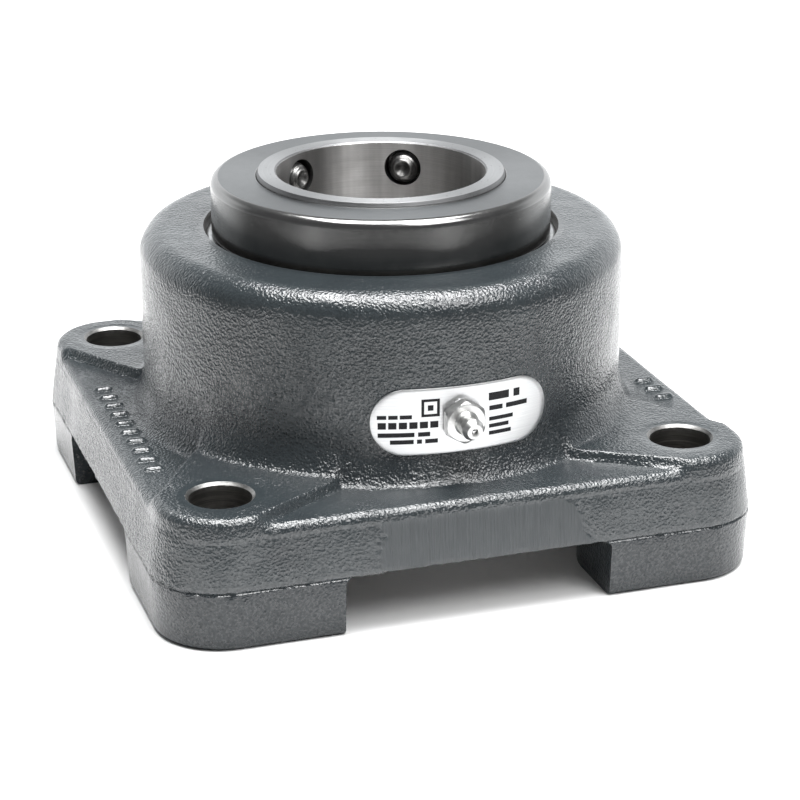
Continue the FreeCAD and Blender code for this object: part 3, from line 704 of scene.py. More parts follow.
def housing_rows(steps):
    """Loops round the axis as (x, y, z) points: mouth, boss, flange, foot and back up through the bore."""
    ones = np.ones_like(steps)
    rows = []

    def add(angles, radius, height):
        rows.append(np.stack([radius * np.cos(angles), radius * np.sin(angles), height * ones], axis=1))

    def upper_half_width(height):
        return PARTING_HALF_WIDTH - (height - PARTING_HEIGHT) * math.tan(DRAFT)

    foot_radius = BOSS_RADIUS + BASE_FILLET[-1][0]
    inner = spread_columns(steps, foot_radius)
    outer = spread_columns(steps, PAD_EDGE_REACH)

    add(inner, MOUTH_RADIUS, BOSS_TOP)
    flat_end = BOSS_RADIUS - BOSS_TOP_ROUND
    boss_side = BOSS_TOP - BOSS_TOP_ROUND
    for share in (0.02, 0.06, 0.15, 0.27, 0.4, 0.53, 0.66, 0.79, 0.92):
        add(inner, MOUTH_RADIUS + (flat_end - MOUTH_RADIUS) * share, BOSS_TOP)
    for turn in np.linspace(math.pi / 2, 0, 12):
        add(inner, flat_end + BOSS_TOP_ROUND * math.cos(turn), boss_side + BOSS_TOP_ROUND * math.sin(turn))

    foot_x, foot_y = np.cos(inner) * foot_radius, np.sin(inner) * foot_radius
    foot_height = flange_top(foot_x, foot_y)
    soft_height = flange_top(foot_x, foot_y, SOFT_STEP)
    fillet_rise = BASE_FILLET[0][1]
    for share in np.linspace(0, 1, 21)[1:-1]:
        add(inner, BOSS_RADIUS, boss_side * (1 - share) + (soft_height + fillet_rise) * share)
    for outward, rise in BASE_FILLET:
        soft = (soft_height - foot_height) * rise / fillet_rise
        add(inner, BOSS_RADIUS + outward, foot_height + soft + rise)

    def edge_shape(angles):
        rough = square_radius(angles, upper_half_width(FACET_HEIGHT) - EDGE_ROUND)
        top = flange_top(np.cos(angles) * rough, np.sin(angles) * rough)
        return top, upper_half_width(top - EDGE_ROUND) - EDGE_ROUND / math.cos(DRAFT)

    for share in np.linspace(0, 1, 35)[1:]:
        angles = spread_columns(steps, foot_radius + (PAD_EDGE_REACH - foot_radius) * share)
        edge_top, round_centre = edge_shape(angles)
        radius = foot_radius + (square_radius(angles, round_centre) - foot_radius) * share
        top = flange_top(np.cos(angles) * radius, np.sin(angles) * radius)
        add(angles, radius, edge_top if share == 1 else top)
    for turn in np.linspace(math.pi / 2, DRAFT, 8)[1:]:
        add(outer, square_radius(outer, round_centre + EDGE_ROUND * math.cos(turn)),
            edge_top - EDGE_ROUND * (1 - math.sin(turn)))

    start = edge_top - EDGE_ROUND * (1 - math.sin(DRAFT))
    for share in np.linspace(0, 1, 13)[1:]:
        height = start + (PARTING_HEIGHT + 0.7 - start) * share
        add(outer, square_radius(outer, upper_half_width(height)), height)
    for rise, inset in PARTING_GROOVE:
        add(outer, square_radius(outer, PARTING_HALF_WIDTH - inset), PARTING_HEIGHT + rise)
    for height in np.linspace(PARTING_HEIGHT - 0.9, FOOT_EDGE_ROUND, 7):
        half_width = FOOT_HALF_WIDTH + (PARTING_HALF_WIDTH - FOOT_HALF_WIDTH) * height / PARTING_HEIGHT
        add(outer, square_radius(outer, half_width), height)
    for turn in np.linspace(0, math.pi / 2, 5)[1:]:
        add(outer, square_radius(outer, FOOT_HALF_WIDTH - FOOT_EDGE_ROUND * (1 - math.cos(turn))),
            FOOT_EDGE_ROUND * (1 - math.sin(turn)))

    bottom_edge = square_radius(outer, FOOT_HALF_WIDTH - FOOT_EDGE_ROUND)
    inside = [(bottom_edge + (CUP_RADIUS - bottom_edge) * share, 0.0) for share in (0.03, 0.3, 0.6, 0.9)]
    inside += [
        (CUP_RADIUS, 0.0), (CUP_RADIUS, GROOVE_ENDS[0]), (GROOVE_RADIUS, GROOVE_ENDS[0]),
        (GROOVE_RADIUS, GROOVE_ENDS[1]), (CUP_RADIUS, GROOVE_ENDS[1]), (CUP_RADIUS, SHOULDER_HEIGHT),
        (SHOULDER_RADIUS, SHOULDER_HEIGHT), (SHOULDER_RADIUS, SEAL_SHELF), (SEAL_BORE_RADIUS, SEAL_SHELF),
        (SEAL_BORE_RADIUS, BOSS_TOP - MOUTH_DEPTH), (MOUTH_RADIUS - 0.1, BOSS_TOP - 0.17),
    ]
    for index, (radius, height) in enumerate(inside):
        back = max(0.0, (index - 3) / (len(inside) - 4))
        crowd = PAD_EDGE_REACH + (foot_radius - PAD_EDGE_REACH) * back
        add(spread_columns(steps, crowd), radius, height)
    return rows


def relief_cutter():
    """The space between the four feet: crossing channels and a round recess, with rounded upper edges."""
    reach = RECESS_RADIUS + FOOT_INNER_ROUND
    centre_x = CHANNEL_HALF_WIDTH + FOOT_INNER_ROUND
    centre_y = math.sqrt(reach ** 2 - centre_x ** 2)
    outside = PARTING_HALF_WIDTH + 5
    blend = math.atan2(centre_y * (1 - RECESS_RADIUS / reach), centre_x * (1 - RECESS_RADIUS / reach))
    quarter = [(CHANNEL_HALF_WIDTH, outside - 1.3 * k) for k in range(int((outside - centre_y) / 1.3))]
    for turn in np.linspace(math.pi, math.pi + blend, 21):
        quarter.append((centre_x + FOOT_INNER_ROUND * math.cos(turn),
                        centre_y + FOOT_INNER_ROUND * math.sin(turn)))
    first = math.atan2(centre_y, centre_x)
    arc = [first - (2 * first - math.pi / 2) * k / 14 for k in range(1, 14)]
    quarter += [(RECESS_RADIUS * math.cos(a), RECESS_RADIUS * math.sin(a)) for a in arc]
    mirrored = [(y, x) for x, y in reversed(quarter[: len(quarter) - len(arc)])]
    plan = []
    for k in range(4):
        c, s = math.cos(-k * math.pi / 2), math.sin(-k * math.pi / 2)
        plan += [(x * c - y * s, x * s + y * c) for x, y in quarter + mirrored]
    plan = np.array(plan)
    tangent = np.roll(plan, -1, axis=0) - np.roll(plan, 1, axis=0)
    tangent /= np.linalg.norm(tangent, axis=1)[:, None]
    normal = np.stack([tangent[:, 1], -tangent[:, 0]], axis=1)
    inward = np.where((np.abs(plan) > outside - 0.01).any(axis=1)[:, None], 0.0, normal)
    wall = [(0.0, -3.0)] + [(0.0, z) for z in np.linspace(0.4, PARTING_HEIGHT - CHANNEL_TOP_ROUND, 11)]
    for turn in np.linspace(0, math.pi / 2, 6)[1:]:
        wall.append((CHANNEL_TOP_ROUND * (1 - math.cos(turn)),
                     PARTING_HEIGHT - CHANNEL_TOP_ROUND * (1 - math.sin(turn))))
    vertices = [(x, y, height) for inset, height in wall for x, y in plan + inward * inset]
    count = len(plan)
    ends = [tuple(range(count)), tuple(range(len(vertices) - count, len(vertices)))]
    return finish_mesh("cutter", vertices, loop_faces(count, len(wall)) + ends)


# Waves of the sand-cast skin as size and height, and how far it may stand off the drawn shape
CASTING_WAVES = ((19.0, 0.16), (6.5, 0.07), (2.8, 0.015))
DEEPEST_SKIN = -0.6
HIGHEST_SKIN = 0.3
HIGHEST_SIDE_SKIN = 0.16


def casting_noise(point):
    """How far the sand-cast skin stands off the drawn shape at a point, in millimetres."""
    return sum(noise.noise(point / size) * height for size, height in CASTING_WAVES)


def smooth_share(value, low, high):
    share = min(max((value - low) / (high - low), 0.0), 1.0)
    return share * share * (3 - 2 * share)


def ground_share(x, y, z):
    """1 where the front of the flange was ground flush after casting."""
    if y > -84 or z < PARTING_HEIGHT - 0.5:
        return 0.0
    wobble = 3.0 * noise.noise(Vector((z / 6.0, 3.0, 8.0)))
    wobble += 2.2 * noise.noise(Vector((x / 1.5, z / 1.5, 4.0)))
    slant = (FACET_HEIGHT - z) * 0.6
    left = smooth_share(x + wobble, GROUND_ZONE[0] - 1.5, GROUND_ZONE[0] + 1.5)
    right = 1 - smooth_share(x + wobble - slant, GROUND_ZONE[1] - 3.5, GROUND_ZONE[1] - 1.0)
    top = 1 - smooth_share(z, FACET_HEIGHT - 3.6, FACET_HEIGHT - 2.6)
    return left * right * top


def roughen_housing(piece):
    """Displaces the cast skin, leaves machined surfaces true, and records masks for the paint, among them
    painted shade at the boss's foot and on the feet.
    """
    mesh = piece.data
    count = len(mesh.vertices)
    normals = [Vector(n.vector) for n in mesh.vertex_normals]
    ground, painted_shade, rough = np.zeros((3, count), np.float32)
    moved = np.zeros((count, 3), np.float32)
    for index, vertex in enumerate(mesh.vertices):
        point = vertex.co / MM
        x, y, z = point
        reach = math.hypot(x, y)
        hole = math.hypot(abs(x) - BOLT_OFFSET, abs(y) - BOLT_OFFSET)
        past_chamfer = hole - BOLT_HOLE_RADIUS - BOLT_CHAMFER
        cast = smooth_share(past_chamfer, 0.4, 3.5) * smooth_share(z, 0.2, 1.6)
        if reach < MOUTH_RADIUS + 3:
            cast *= smooth_share(reach, MOUTH_RADIUS + 0.1, MOUTH_RADIUS + 2.5) if z > 80 else 0.0
        if reach < CUP_RADIUS + 4 and z < 80:
            cast = 0.0
        across = PLATE_RADIUS * math.asin(max(-1.0, min(1.0, x / PLATE_RADIUS)))
        under_plate = 0.0
        if y < -60 and z > 38:
            past_straight = max(abs(across) - (PLATE_HALF_LENGTH - PLATE_HALF_HEIGHT), 0)
            past = math.hypot(past_straight, z - GREASE_HEIGHT)
            under_plate = 1 - smooth_share(past, PLATE_HALF_HEIGHT + 0.4, PLATE_HALF_HEIGHT + 3.0)
        flush = ground_share(x, y, z)
        ground[index] = flush
        skin = casting_noise(point) * (1 - 0.93 * flush) - 0.12 * flush
        skin = skin * cast * (1 - under_plate) - 0.08 * under_plate * cast
        if abs(z - PARTING_HEIGHT) < 0.6 and reach > 84:
            skin += 0.3 * noise.noise(Vector((x, y, 0)) / 2.6) + 0.15 * noise.noise(Vector((x, y, 9)) / 1.1)
        limit = HIGHEST_SIDE_SKIN if reach > 70 and z < FACET_HEIGHT - EDGE_ROUND else HIGHEST_SKIN
        skin = max(DEEPEST_SKIN, min(limit, skin))
        moved[index] = (point + normals[index] * skin) * MM
        # Painted shade: a darker band round the boss's foot, where it meets the flange
        low = smooth_share(BOSS_RADIUS + 9 - reach, 0.0, 9.0) * (1 - smooth_share(z, 36, 58)) * (z > 30)
        painted_shade[index] = low * (0.75 + 0.5 * noise.noise(point / 9.0))
        rough[index] = (1 - flush) * min(cast + 0.25, 1.0) * (0.8 + 0.5 * noise.noise(point / 12.0))
        near_marks = abs(abs(x) - MARK_OFFSET) < MARK_HALF_LENGTH + 2 and abs(y) < 40
        if near_marks and FACET_HEIGHT + 0.3 < z < FACET_HEIGHT + 2:
            rough[index] *= 0.3
        elif z < PARTING_HEIGHT - 0.5:
            rough[index] *= FOOT_ROUGHNESS
            # Painted shade: the feet are painted darker
            painted_shade[index] = FOOT_SHADE
        elif z < FACET_HEIGHT - EDGE_ROUND and reach > BOSS_RADIUS + 5:
            facing = smooth_share(abs(normals[index].x), 0.6, 0.97)
            rough[index] *= SIDE_ROUGHNESS + (LEFT_RIGHT_ROUGHNESS - SIDE_ROUGHNESS) * facing
        elif z > BOSS_TOP - BOSS_TOP_ROUND - 1:
            rough[index] *= CROWN_ROUGHNESS
        elif reach > BOSS_RADIUS + 5:
            rough[index] *= TOP_ROUGHNESS
    mesh.vertices.foreach_set("co", moved.ravel())
    add_masks(mesh, {"ground": ground, "painted_shade": np.clip(painted_shade, 0, FOOT_SHADE), "rough": rough})
    mesh.update()


def build_housing():
    housing = grid_mesh("housing_casting", housing_rows(np.arange(COLUMNS) / COLUMNS), True)
    hole_profile = [
        (BOLT_HOLE_RADIUS, -4), (BOLT_HOLE_RADIUS, PAD_HEIGHT - BOLT_CHAMFER),
        (BOLT_HOLE_RADIUS + 3, PAD_HEIGHT - BOLT_CHAMFER + 3),
    ]
    cutters = [relief_cutter()]
    for sx, sy in ((-1, -1), (-1, 1), (1, -1), (1, 1)):
        def at_hole(x, y, z):
            return (x + sx * BOLT_OFFSET, y + sy * BOLT_OFFSET, z)
        cutters.append(cylinder_cutter(hole_profile, 96, at_hole))

    def at_fitting(x, y, z):
        return (x, -z, y + GREASE_HEIGHT)
    for radius, start, end, segments in ((TAPPED_HOLE, 62.0, 75.0, 48), (GREASE_HOLE, 50.0, 64.0, 32)):
        cutters.append(cylinder_cutter([(radius, start), (radius, end)], segments, at_fitting))
    cut(housing, cutters)
    cut(housing, mark_blocks(), "UNION")
    roughen_housing(housing)
    sharpen(housing, 38)

    def choose(reach, z, face):
        x, y = face.center.xy / MM
        hole = math.hypot(abs(x) - BOLT_OFFSET, abs(y) - BOLT_OFFSET)
        if hole < BOLT_HOLE_RADIUS + BOLT_CHAMFER + 0.05 and z > 0.05:
            return 1
        bored = reach < MOUTH_RADIUS - 0.2 or (reach < GROOVE_RADIUS + 0.2 and 0 < z < 78) or z < 0.01
        return 2 if bored else 0
    paint_faces(housing, (PAINT, BARE_IRON, BORED_IRON), choose)
    place_piece(housing, "housing_unit", "housing_paint", (), "housing")


# Rings, collar and screws

def screw_place(angle, drop=SCREW_DROP):
    """Turns local points about a set screw's axis into the frame. Distance is from the bore's axis."""
    out = np.array([math.cos(angle), math.sin(angle), 0.0])
    side = np.array([-math.sin(angle), math.cos(angle), 0.0])

    def place(x, y, distance):
        return out * distance + side * x + np.array([0.0, 0.0, SCREW_HEIGHT - drop + y])
    return place


def build_inner_ring():
    centre = GREASE_HEIGHT
    front = RING_HIGH[2]
    rear = RING_LOW[2]
    cone = [(45.9, 6.7, 0.4), (43.25, 6.15, 0), (40.15, 22.4, 0), (41.5, 22.65, 0), (41.5, 25.5, 0.5),
            (SLEEVE_RADIUS, 25.5, 0.5)]
    lower = [(r, centre - d, rounding) for r, d, rounding in reversed(cone)]
    upper = [(r, centre + d, rounding) for r, d, rounding in cone]
    outline = rounded([
        *lower, *upper,
        (SLEEVE_RADIUS, front - 1.1, 0.2), (SLEEVE_RADIUS - 0.45, front, 0.12),
        (BORE_RADIUS + 0.45, front, 0.15), (BORE_RADIUS, front - 0.45, 0.15),
        (BORE_RADIUS, rear + 1.14, 0.25), (BORE_RADIUS + 1.14, rear, 0.2),
        (SLEEVE_RADIUS - 0.7, rear, 0.2), (SLEEVE_RADIUS, rear + 0.7, 0.25),
    ])
    ring = revolved("inner_ring_ground", with_supports(outline))
    cutters = []
    for angle in SCREW_ANGLES.values():
        profile = [(SCREW_RING_HOLE + 0.15, 28.0), (SCREW_RING_HOLE + 0.15, BORE_RADIUS - 0.3),
                   (SCREW_RING_HOLE, BORE_RADIUS + 0.3), (SCREW_RING_HOLE, 39.0)]
        cutters.append(cylinder_cutter(profile, 72, screw_place(angle, RING_HOLE_DROP)))
    cut(ring, cutters)
    sharpen(ring)

    def choose(reach, z, face):
        if z > front - 1.5 and reach > BORE_RADIUS + 0.05:
            return 0 if face.normal.z > 0.95 else 4
        if reach < BORE_RADIUS + 0.02:
            return 1
        return 3 if reach < SLEEVE_RADIUS - 0.02 and rear + 2 < z < front - 1.5 else 2
    paint_faces(ring, (RING_FACE, RING_BORE, BEARING_STEEL, DRILLED_RING, RING_EDGE), choose)
    place_piece(ring, "shaft_ring", "bearing_steel", (), "inner_ring")


def build_collar():
    inner = SLEEVE_RADIUS + 0.03
    low, high = COLLAR_LOW[2], COLLAR_HIGH[2]
    outline = rounded([
        (inner, low, 0.3), (COLLAR_RADIUS, low, 0.6),
        (COLLAR_RADIUS, high, COLLAR_EDGE_ROUND),
        (inner, high, 0.45),
    ], math.radians(7))
    collar = revolved("locking_collar_turned", with_supports(outline))
    cutters = []
    for angle in SCREW_ANGLES.values():
        profile = [(SCREW_RADIUS + 0.05, 34.0), (SCREW_RADIUS + 0.05, COLLAR_RADIUS - 0.75),
                   (SCREW_RADIUS + 0.85, COLLAR_RADIUS + 0.05), (SCREW_RADIUS + 0.85, 53.0)]
        cutters.append(cylinder_cutter(profile, 72, screw_place(angle)))
    cut(collar, cutters)
    sharpen(collar)

    def choose(reach, z, face):
        return 0 if z <= high - COLLAR_EDGE_ROUND else 1 if face.normal.z > 0.985 else 2
    paint_faces(collar, (COLLAR_SIDE, COLLAR_FACE, COLLAR_EDGE), choose)
    place_piece(collar, "shaft_ring", "collar_steel", (), "locking_collar")


def thread_radius(angle, along):
    """Radius of a 60 degree thread with flat crests at a turn angle and a distance along the screw."""
    phase = (along / SCREW_PITCH - angle / TAU) % 1.0
    from_crest = abs(phase - 0.5) * 2
    depth = min(max((from_crest - 0.14) / 0.72, 0.0), 1.0)
    return SCREW_RADIUS - THREAD_DEPTH * depth


def build_set_screw(name, side):
    """Socket set screw: cup point towards the shaft, rolled thread and a hexagon socket at the far end."""
    place = screw_place(SCREW_ANGLES[side])
    segments = 72
    turns = [TAU * k / segments for k in range(segments)]
    rows, rubs = [], []

    def add(radii, along, rub):
        """A loop from one radius or one for each turn, rubbed bright by one share or one for each turn."""
        radii, rub = (value if isinstance(value, list) else [value] * segments for value in (radii, rub))
        rows.append([place(r * math.cos(turn), r * math.sin(turn), SCREW_TIP_DISTANCE + along)
                     for turn, r in zip(turns, radii)])
        rubs.append(rub)

    for radius, along, rub in CUP_POINT:
        add(radius, along, rub)
    steps = 104
    for k in range(1, steps):
        along = 0.15 + (SCREW_LENGTH - 0.15 - 0.06) * k / steps
        groove = 0.14 * (0.5 - 0.5 * math.cos(TAU * (along - 0.15) / 0.6))
        limit = min(2.88 + (along - 0.15) - groove, SCREW_RADIUS)
        limit = min(limit, SCREW_RADIUS - SOCKET_CHAMFER + (SCREW_LENGTH - along))
        threads = [thread_radius(turn, along) for turn in turns]
        rub = [0.85 * (thread > SCREW_RADIUS - 0.12) + 0.15 * (limit < thread) for thread in threads]
        add([min(thread, limit) for thread in threads], along, rub)
    for radius in (SCREW_RADIUS - 0.85, 2.75):
        add(radius, SCREW_LENGTH, 0.3)
    sixth = TAU / 6
    hexagon = [SCREW_FLATS / 2 / math.cos((turn % sixth) - sixth / 2) for turn in turns]
    add([radius * 1.06 for radius in hexagon], SCREW_LENGTH, 0.4)
    for depth, rub in ((0.2, 0.4), (0.5, 0.1), (3.0, 0.1), (6.0, 0.1)):
        add(hexagon, SCREW_LENGTH - depth, rub)
    add(1.2, SCREW_LENGTH - 6.4, 0.0)
    add(0.0, SCREW_LENGTH - 6.7, 0.0)
    screw = grid_mesh(name, rows, False, 40, {"rub": rubs})
    place_piece(screw, side + "_screw", "screw_steel", (BLACK_OXIDE,), "set_screw_" + side)


def build_front_seal():
    """Pressed seal case in the housing's mouth, with a rolled shoulder and a shallow stiffening step."""
    face = CASE_HIGH[2]
    outside = CASE_HIGH[0]
    outline = rounded([
        (41.0, face - 0.35, 0.1), (44.3, face - 0.35, 0.3), (45.2, face, 0.3), (outside, face, 1.0),
        (outside, CASE_LOW[2], 0.2), (outside - 1.2, CASE_LOW[2], 0.2), (outside - 1.2, face - 1.2, 0.3),
        (41.0, face - 1.2, 0.1),
    ])
    case = revolved("front_seal_shell", with_supports(outline), 192)
    place_piece(case, "housing_unit", "seal_steel", (SEAL_STEEL,), "front_seal_case")


# Nameplate and its print

def on_plate(u, v, radius):
    """Point on a cylinder round the boss, by distance along the plate and height above its middle."""
    azimuth = u / PLATE_RADIUS
    return (radius * math.sin(azimuth), -radius * math.cos(azimuth), GREASE_HEIGHT + v)


def obround(turn, inset):
    """Point on the plate's outline, by direction from its middle."""
    half_height = PLATE_HALF_HEIGHT - inset
    straight = PLATE_HALF_LENGTH - PLATE_HALF_HEIGHT
    half_perimeter = 2 * straight + math.pi * half_height
    half, walk = divmod((turn / TAU * 2 * half_perimeter + straight) % (2 * half_perimeter), half_perimeter)
    side = -1 if half else 1
    if walk < 2 * straight:
        return (side * (walk - straight), -side * half_height)
    a = (walk - 2 * straight) / half_height - math.pi / 2
    return (side * (straight + half_height * math.cos(a)), side * half_height * math.sin(a))


def build_nameplate():
    segments = 192
    rows = []

    def add(points, radius):
        rows.append([on_plate(u, v, radius) for u, v in points])

    def hole_ring(reach):
        turns = [TAU * k / segments - math.pi / 2 for k in range(segments)]
        return [(reach * math.cos(turn), reach * math.sin(turn)) for turn in turns]

    def outline(inset):
        points = [obround(TAU * k / segments, inset) for k in range(segments)]
        return [(u + PLATE_SHIFT, v) for u, v in points]

    def add_between(inner, outer, shares, radius):
        inner, outer = np.array(inner), np.array(outer)
        for share in shares:
            add(inner + (outer - inner) * share, radius)

    add(hole_ring(PLATE_HOLE), BOSS_RADIUS)
    add(hole_ring(PLATE_HOLE), PLATE_RADIUS - 0.1)
    face_shares = (0.0, 0.08, 0.2, 0.35, 0.5, 0.65, 0.8, 0.92, 1.0)
    add_between(hole_ring(PLATE_HOLE + 0.1), outline(0.25), face_shares, PLATE_RADIUS)
    for inset, radius in ((0.08, PLATE_RADIUS - 0.06), (0.0, PLATE_RADIUS - 0.22),
                          (0.0, BOSS_RADIUS + 0.05), (0.15, BOSS_RADIUS)):
        add(outline(inset), radius)
    add_between(hole_ring(PLATE_HOLE), outline(0.15), (0.75, 0.5, 0.25), BOSS_RADIUS)
    plate = grid_mesh("nameplate_sheet", rows, True)
    place_piece(plate, "housing_unit", "plate_aluminium", (ALUMINIUM,), "nameplate")


# Generic print: rows of blocks as start, height of the row's middle, block height, block lengths and gap.
# The framed square is bars as start, end, low edge and high edge.

PRINT_ROWS = [
    (-24.0, 1.7, 1.15, (2.6, 2.6, 3.4), 0.55),
    (-23.8, -0.8, 1.95, (2.3, 2.3, 2.3, 2.3, 2.3, 2.3), 0.62),
    (-23.8, -3.55, 1.3, (10.2, 3.4), 1.0),
    (-20.4, -5.65, 1.25, (6.6, 1.4, 3.6), 0.9),
    (7.9, 5.4, 2.3, (6.4, 2.0), 1.5),
    (8.1, 2.0, 1.4, (4.2, 7.0), 1.1),
    (8.1, -1.2, 1.15, (7.6,), 0.6),
    (8.1, -3.3, 1.15, (6.2,), 0.6),
    (8.1, -5.4, 1.15, (7.0,), 0.6),
]
SYMBOL_BARS = [
    (-11.7, -6.5, 5.9, 6.7), (-11.7, -10.9, 1.5, 5.89), (-7.3, -6.5, 1.5, 5.89), (-10.89, -7.31, 1.5, 2.3),
    (-9.9, -8.3, 3.3, 4.9),
]
INK_LIFT = 0.025


def print_block(vertices, faces, start, end, low, high, steps):
    """Adds a thin closed block of ink that follows the plate."""
    first = len(vertices)
    bottom, top = PLATE_RADIUS - 0.01, PLATE_RADIUS + INK_LIFT
    corners = ((low, bottom), (high, bottom), (high, top), (low, top))
    for k in range(steps + 1):
        u = start + (end - start) * k / steps
        vertices += [on_plate(u, v, radius) for v, radius in corners]
    ends = [(0, 1, 2, 3), tuple(range(4 * steps, 4 * steps + 4))]
    faces += [tuple(first + corner for corner in face) for face in loop_faces(4, steps + 1) + ends]


def build_print():
    """Blocks that stand for printed lines, and a plain framed square."""
    vertices, faces = [], []
    for u, middle, height, lengths, gap in PRINT_ROWS:
        for length in lengths:
            steps = max(2, math.ceil(length / 1.2))
            print_block(vertices, faces, u, u + length, middle - height / 2, middle + height / 2, steps)
            u += length + gap
    for start, end, low, high in SYMBOL_BARS:
        print_block(vertices, faces, start, end, low, high, 4)
    marks = finish_mesh("nameplate_print", vertices, faces, 30)
    place_piece(marks, "housing_unit", None, (INK,))


# Grease fitting

def build_fitting():
    """Straight hydraulic nipple: pipe shank, chamfered hexagon, necked head and the ball's passage."""
    segments = 120
    sixth = TAU / 6
    turns = [TAU * k / segments + TAU / 4 for k in range(segments)]
    hexagon = [HEX_FLATS / 2 / math.cos(((t - TAU / 4) % sixth) - sixth / 2) for t in turns]
    rows = []

    def add(radii, distance):
        rows.append([
            (r * math.cos(t), -distance, GREASE_HEIGHT + r * math.sin(t)) for r, t in zip(radii, turns)
        ])

    def ring(radius, distance):
        add([radius] * segments, distance)

    def hex_ring(limit, distance):
        add([min(h, limit) for h in hexagon], distance)

    shank_end = HEX_SEAT - 10.0
    shoulder = HEX_SEAT + HEX_HEIGHT
    for radius, distance in ((1.0, shank_end), (4.1, shank_end), (4.9, shank_end + 0.8), (4.9, HEX_SEAT)):
        ring(radius, distance)
    flats = HEX_FLATS / 2
    for reach, distance in ((-0.25, 0.0), (-0.1, 0.04), (0.0, 0.12), (0.3, 0.3), (0.6, 0.5), (2.0, 1.2)):
        hex_ring(flats + reach, HEX_SEAT + distance)
    for reach, distance in ((2.0, 1.2), (0.62, 0.46), (0.36, 0.31), (0.1, 0.16), (-0.06, 0.07),
                            (-0.16, 0.015), (-0.24, 0.0), (-0.4, 0.0)):
        hex_ring(flats + reach, shoulder - distance)
    ring(flats - 1.0, shoulder)
    nipple = rounded([
        (0.0, shoulder, 0), (3.5, shoulder, 0), (3.0, shoulder + 0.6, 0.3), (2.6, shoulder + 2.1, 0.4),
        (3.1, shoulder + 3.6, 0.4), (3.1, shoulder + 5.2, 0.4), (2.2, FITTING_TIP, 0.25),
        (0.0, FITTING_TIP, 0),
    ], math.radians(9))
    for point in with_supports(nipple[1:-1], 0.15, 0.6)[:-2]:
        ring(point[0], point[1])
    spring_seat = -node_box("grease_spring")[1][1] - 0.05
    for radius, distance in ((1.1, FITTING_TIP), (0.93, FITTING_TIP - 0.06), (0.88, FITTING_TIP - 0.2),
                             (0.88, FITTING_TIP - 0.8), (1.7, FITTING_TIP - 2.0), (1.7, spring_seat),
                             (1.0, spring_seat), (1.0, shank_end + 0.5)):
        ring(radius, distance)
    fitting = grid_mesh("grease_nipple", rows, True, 28)
    place_piece(fitting, "housing_unit", "fitting_zinc", (ZINC,), "grease_fitting")


def build_grease_spring():
    """Coil spring behind the check ball, built as one fixed coil that does not shorten with the ball."""
    low, high = node_box("grease_spring")
    coil_radius = high[0] - SPRING_WIRE
    steps = 24 * SPRING_TURNS
    section_turns = [TAU * k / 16 for k in range(16)]
    rows = []
    for step, wire in [(0, 0.0), *((k, SPRING_WIRE) for k in range(steps + 1)), (steps, 0.0)]:
        share = step / steps
        turn = TAU * SPRING_TURNS * share
        out = np.array([math.cos(turn), 0.0, math.sin(turn)])
        along = high[1] - SPRING_WIRE + (low[1] - high[1] + 2 * SPRING_WIRE) * share
        centre = np.array([0.0, along, GREASE_HEIGHT]) + coil_radius * out
        section = [math.cos(a) * out + np.array([0.0, math.sin(a), 0.0]) for a in section_turns]
        rows.append([centre + wire * direction for direction in section])
    spring = grid_mesh("grease_coil_spring", rows, False)
    place_piece(spring, "housing_unit", "spring_steel", (SPRING_STEEL,), "grease_spring")
    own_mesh(spring)


# CAD nodes that stay as they are and only get a finish

KEPT_FINISH = {
    BEARING_STEEL: ["front_outer_cup", "rear_outer_cup", "front_rollers", "rear_rollers", "grease_ball"],
    PRESSED_STEEL: ["cup_spacer", "front_cage", "rear_cage", "adjusting_shim"],
    SPRING_STEEL: ["snap_ring", "front_garter_spring", "rear_garter_spring"],
    SEAL_STEEL: ["rear_seal_case"],
    RUBBER: ["front_seal_lip", "rear_seal_lip"],
}


def finish_kept_nodes():
    for material, nodes in KEPT_FINISH.items():
        for name in nodes:
            mesh_object = frame["nodes"][name]
            if not mesh_object.material_slots:
                mesh_object.data.materials.append(material)
            for slot in mesh_object.material_slots:
                slot.material = material


# Stage

OVERHEAD_POWER = 44.0
KEY_POWER = 9.6
BACKDROP_LIGHT = 1.35
ROOM_LIGHT = 0.2
LOW_ROOM_LIGHT = 0.28
SEEN_SKY_LIGHT = 1.3
CAMERA_YAW = math.radians(18.4397)
CAMERA_PITCH = math.radians(20.9566)
CAMERA_PLACE = (-0.2139, -0.65939, 0.29758)
CAMERA_LENS = 109.28


def add_area(name, location, aim, size, power):
    light = bpy.data.lights.new(name, "AREA")
    light.shape = "RECTANGLE"
    light.size, light.size_y = size
    light.energy = power
    lamp = bpy.data.objects.new(name, light)
    lamp.location = location
    lamp.rotation_euler = aim
    bpy.context.scene.collection.objects.link(lamp)
    return lamp


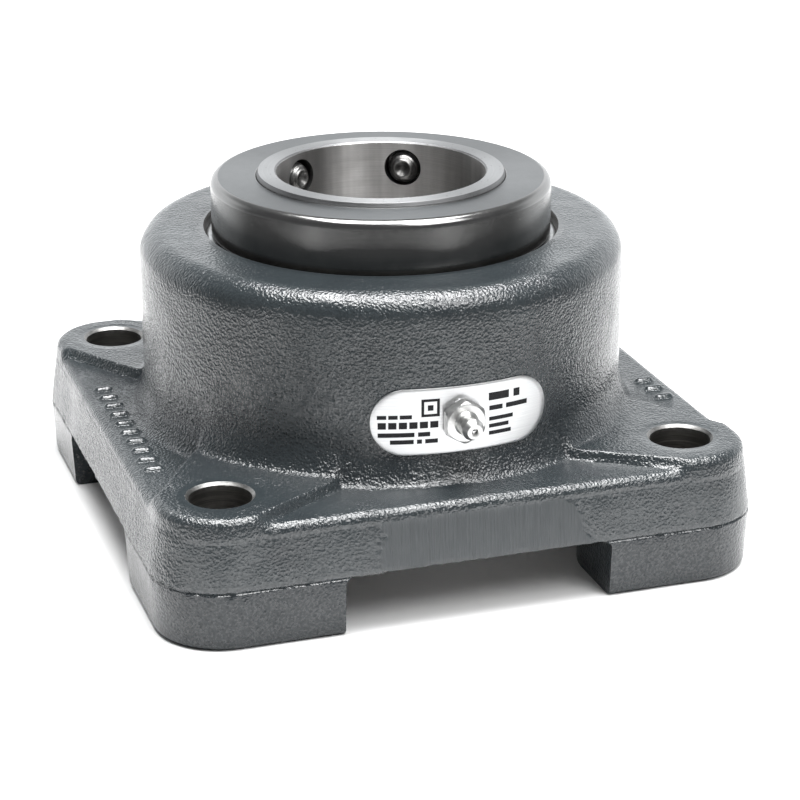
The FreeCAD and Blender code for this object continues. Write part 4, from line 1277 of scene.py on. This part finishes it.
def build_stage():
    """Pale floor under a large overhead softbox, with a bright backdrop behind and a dark room in front."""
    yaw, pitch = CAMERA_YAW, CAMERA_PITCH
    back = Vector((math.sin(yaw), math.cos(yaw), 0))
    right = Vector((math.cos(yaw), -math.sin(yaw), 0))
    sides = ((-1, -0.27), (1, -0.27), (1, 0.8), (-1, 0.8))
    corners = [right * side * 0.25 + back * reach for side, reach in sides]
    floor = finish_mesh("floor", [(c.x / MM, c.y / MM, -0.05) for c in corners], [(0, 1, 2, 3)])
    floor.data.materials.append(FLOOR)
    overhead = right * 0.02 + Vector((0, 0, 1.25))
    add_area("overhead_softbox", overhead, (0, 0, -yaw), (1.0, 0.85), OVERHEAD_POWER)
    key = (right * 0.7071 - back * 0.7071) * 0.84 + Vector((0, 0, 1.0))
    add_area("side_softbox", key, (-key).to_track_quat("-Z", "Y").to_euler(), (0.6, 0.6), KEY_POWER)

    world = bpy.data.worlds.new("studio")
    bpy.context.scene.world = world
    world.use_nodes = True
    sky = Nodes(world.node_tree)
    direction = sky.node("ShaderNodeTexCoord").outputs["Generated"]
    dot = sky.made("ShaderNodeVectorMath", (direction, back), operation="DOT_PRODUCT")
    up = sky.split(direction)[2]
    soft = {"interpolation_type": "SMOOTHSTEP"}
    backdrop = sky.span(dot.outputs["Value"], 0.1, 0.6, 0.0, BACKDROP_LIGHT, **soft)
    below_top = sky.span(up, 0.35, 0.62, 1.0, 0.08, **soft)
    room = sky.span(up, -0.1, 0.15, LOW_ROOM_LIGHT, ROOM_LIGHT, **soft)
    strength = sky.node("ShaderNodeMix", data_type="FLOAT")
    sky.feed(strength.inputs[0], sky.node("ShaderNodeLightPath").outputs["Is Camera Ray"])
    sky.feed(strength.inputs[2], sky.math("MULTIPLY_ADD", backdrop, below_top, room))
    sky.feed(strength.inputs[3], SEEN_SKY_LIGHT)
    background = world.node_tree.nodes["Background"]
    sky.feed(background.inputs["Strength"], strength.outputs[0])
    background.inputs["Color"].default_value = (0.97, 0.985, 1.0, 1)

    scene = bpy.context.scene
    scene.view_settings.view_transform = "Standard"
    camera = bpy.data.objects.new("camera", bpy.data.cameras.new("camera"))
    camera.data.sensor_width = 36.0
    camera.data.lens = CAMERA_LENS
    camera.location = CAMERA_PLACE
    forward = back * math.cos(pitch) - Vector((0, 0, math.sin(pitch)))
    camera.rotation_euler = forward.to_track_quat("-Z", "Y").to_euler()
    scene.collection.objects.link(camera)
    scene.camera = camera


build_housing()
build_inner_ring()
build_collar()
build_set_screw("set_screw_left_threaded", "left")
build_set_screw("set_screw_right_threaded", "right")
build_front_seal()
build_nameplate()
build_print()
build_fitting()
build_grease_spring()
finish_kept_nodes()
build_stage()
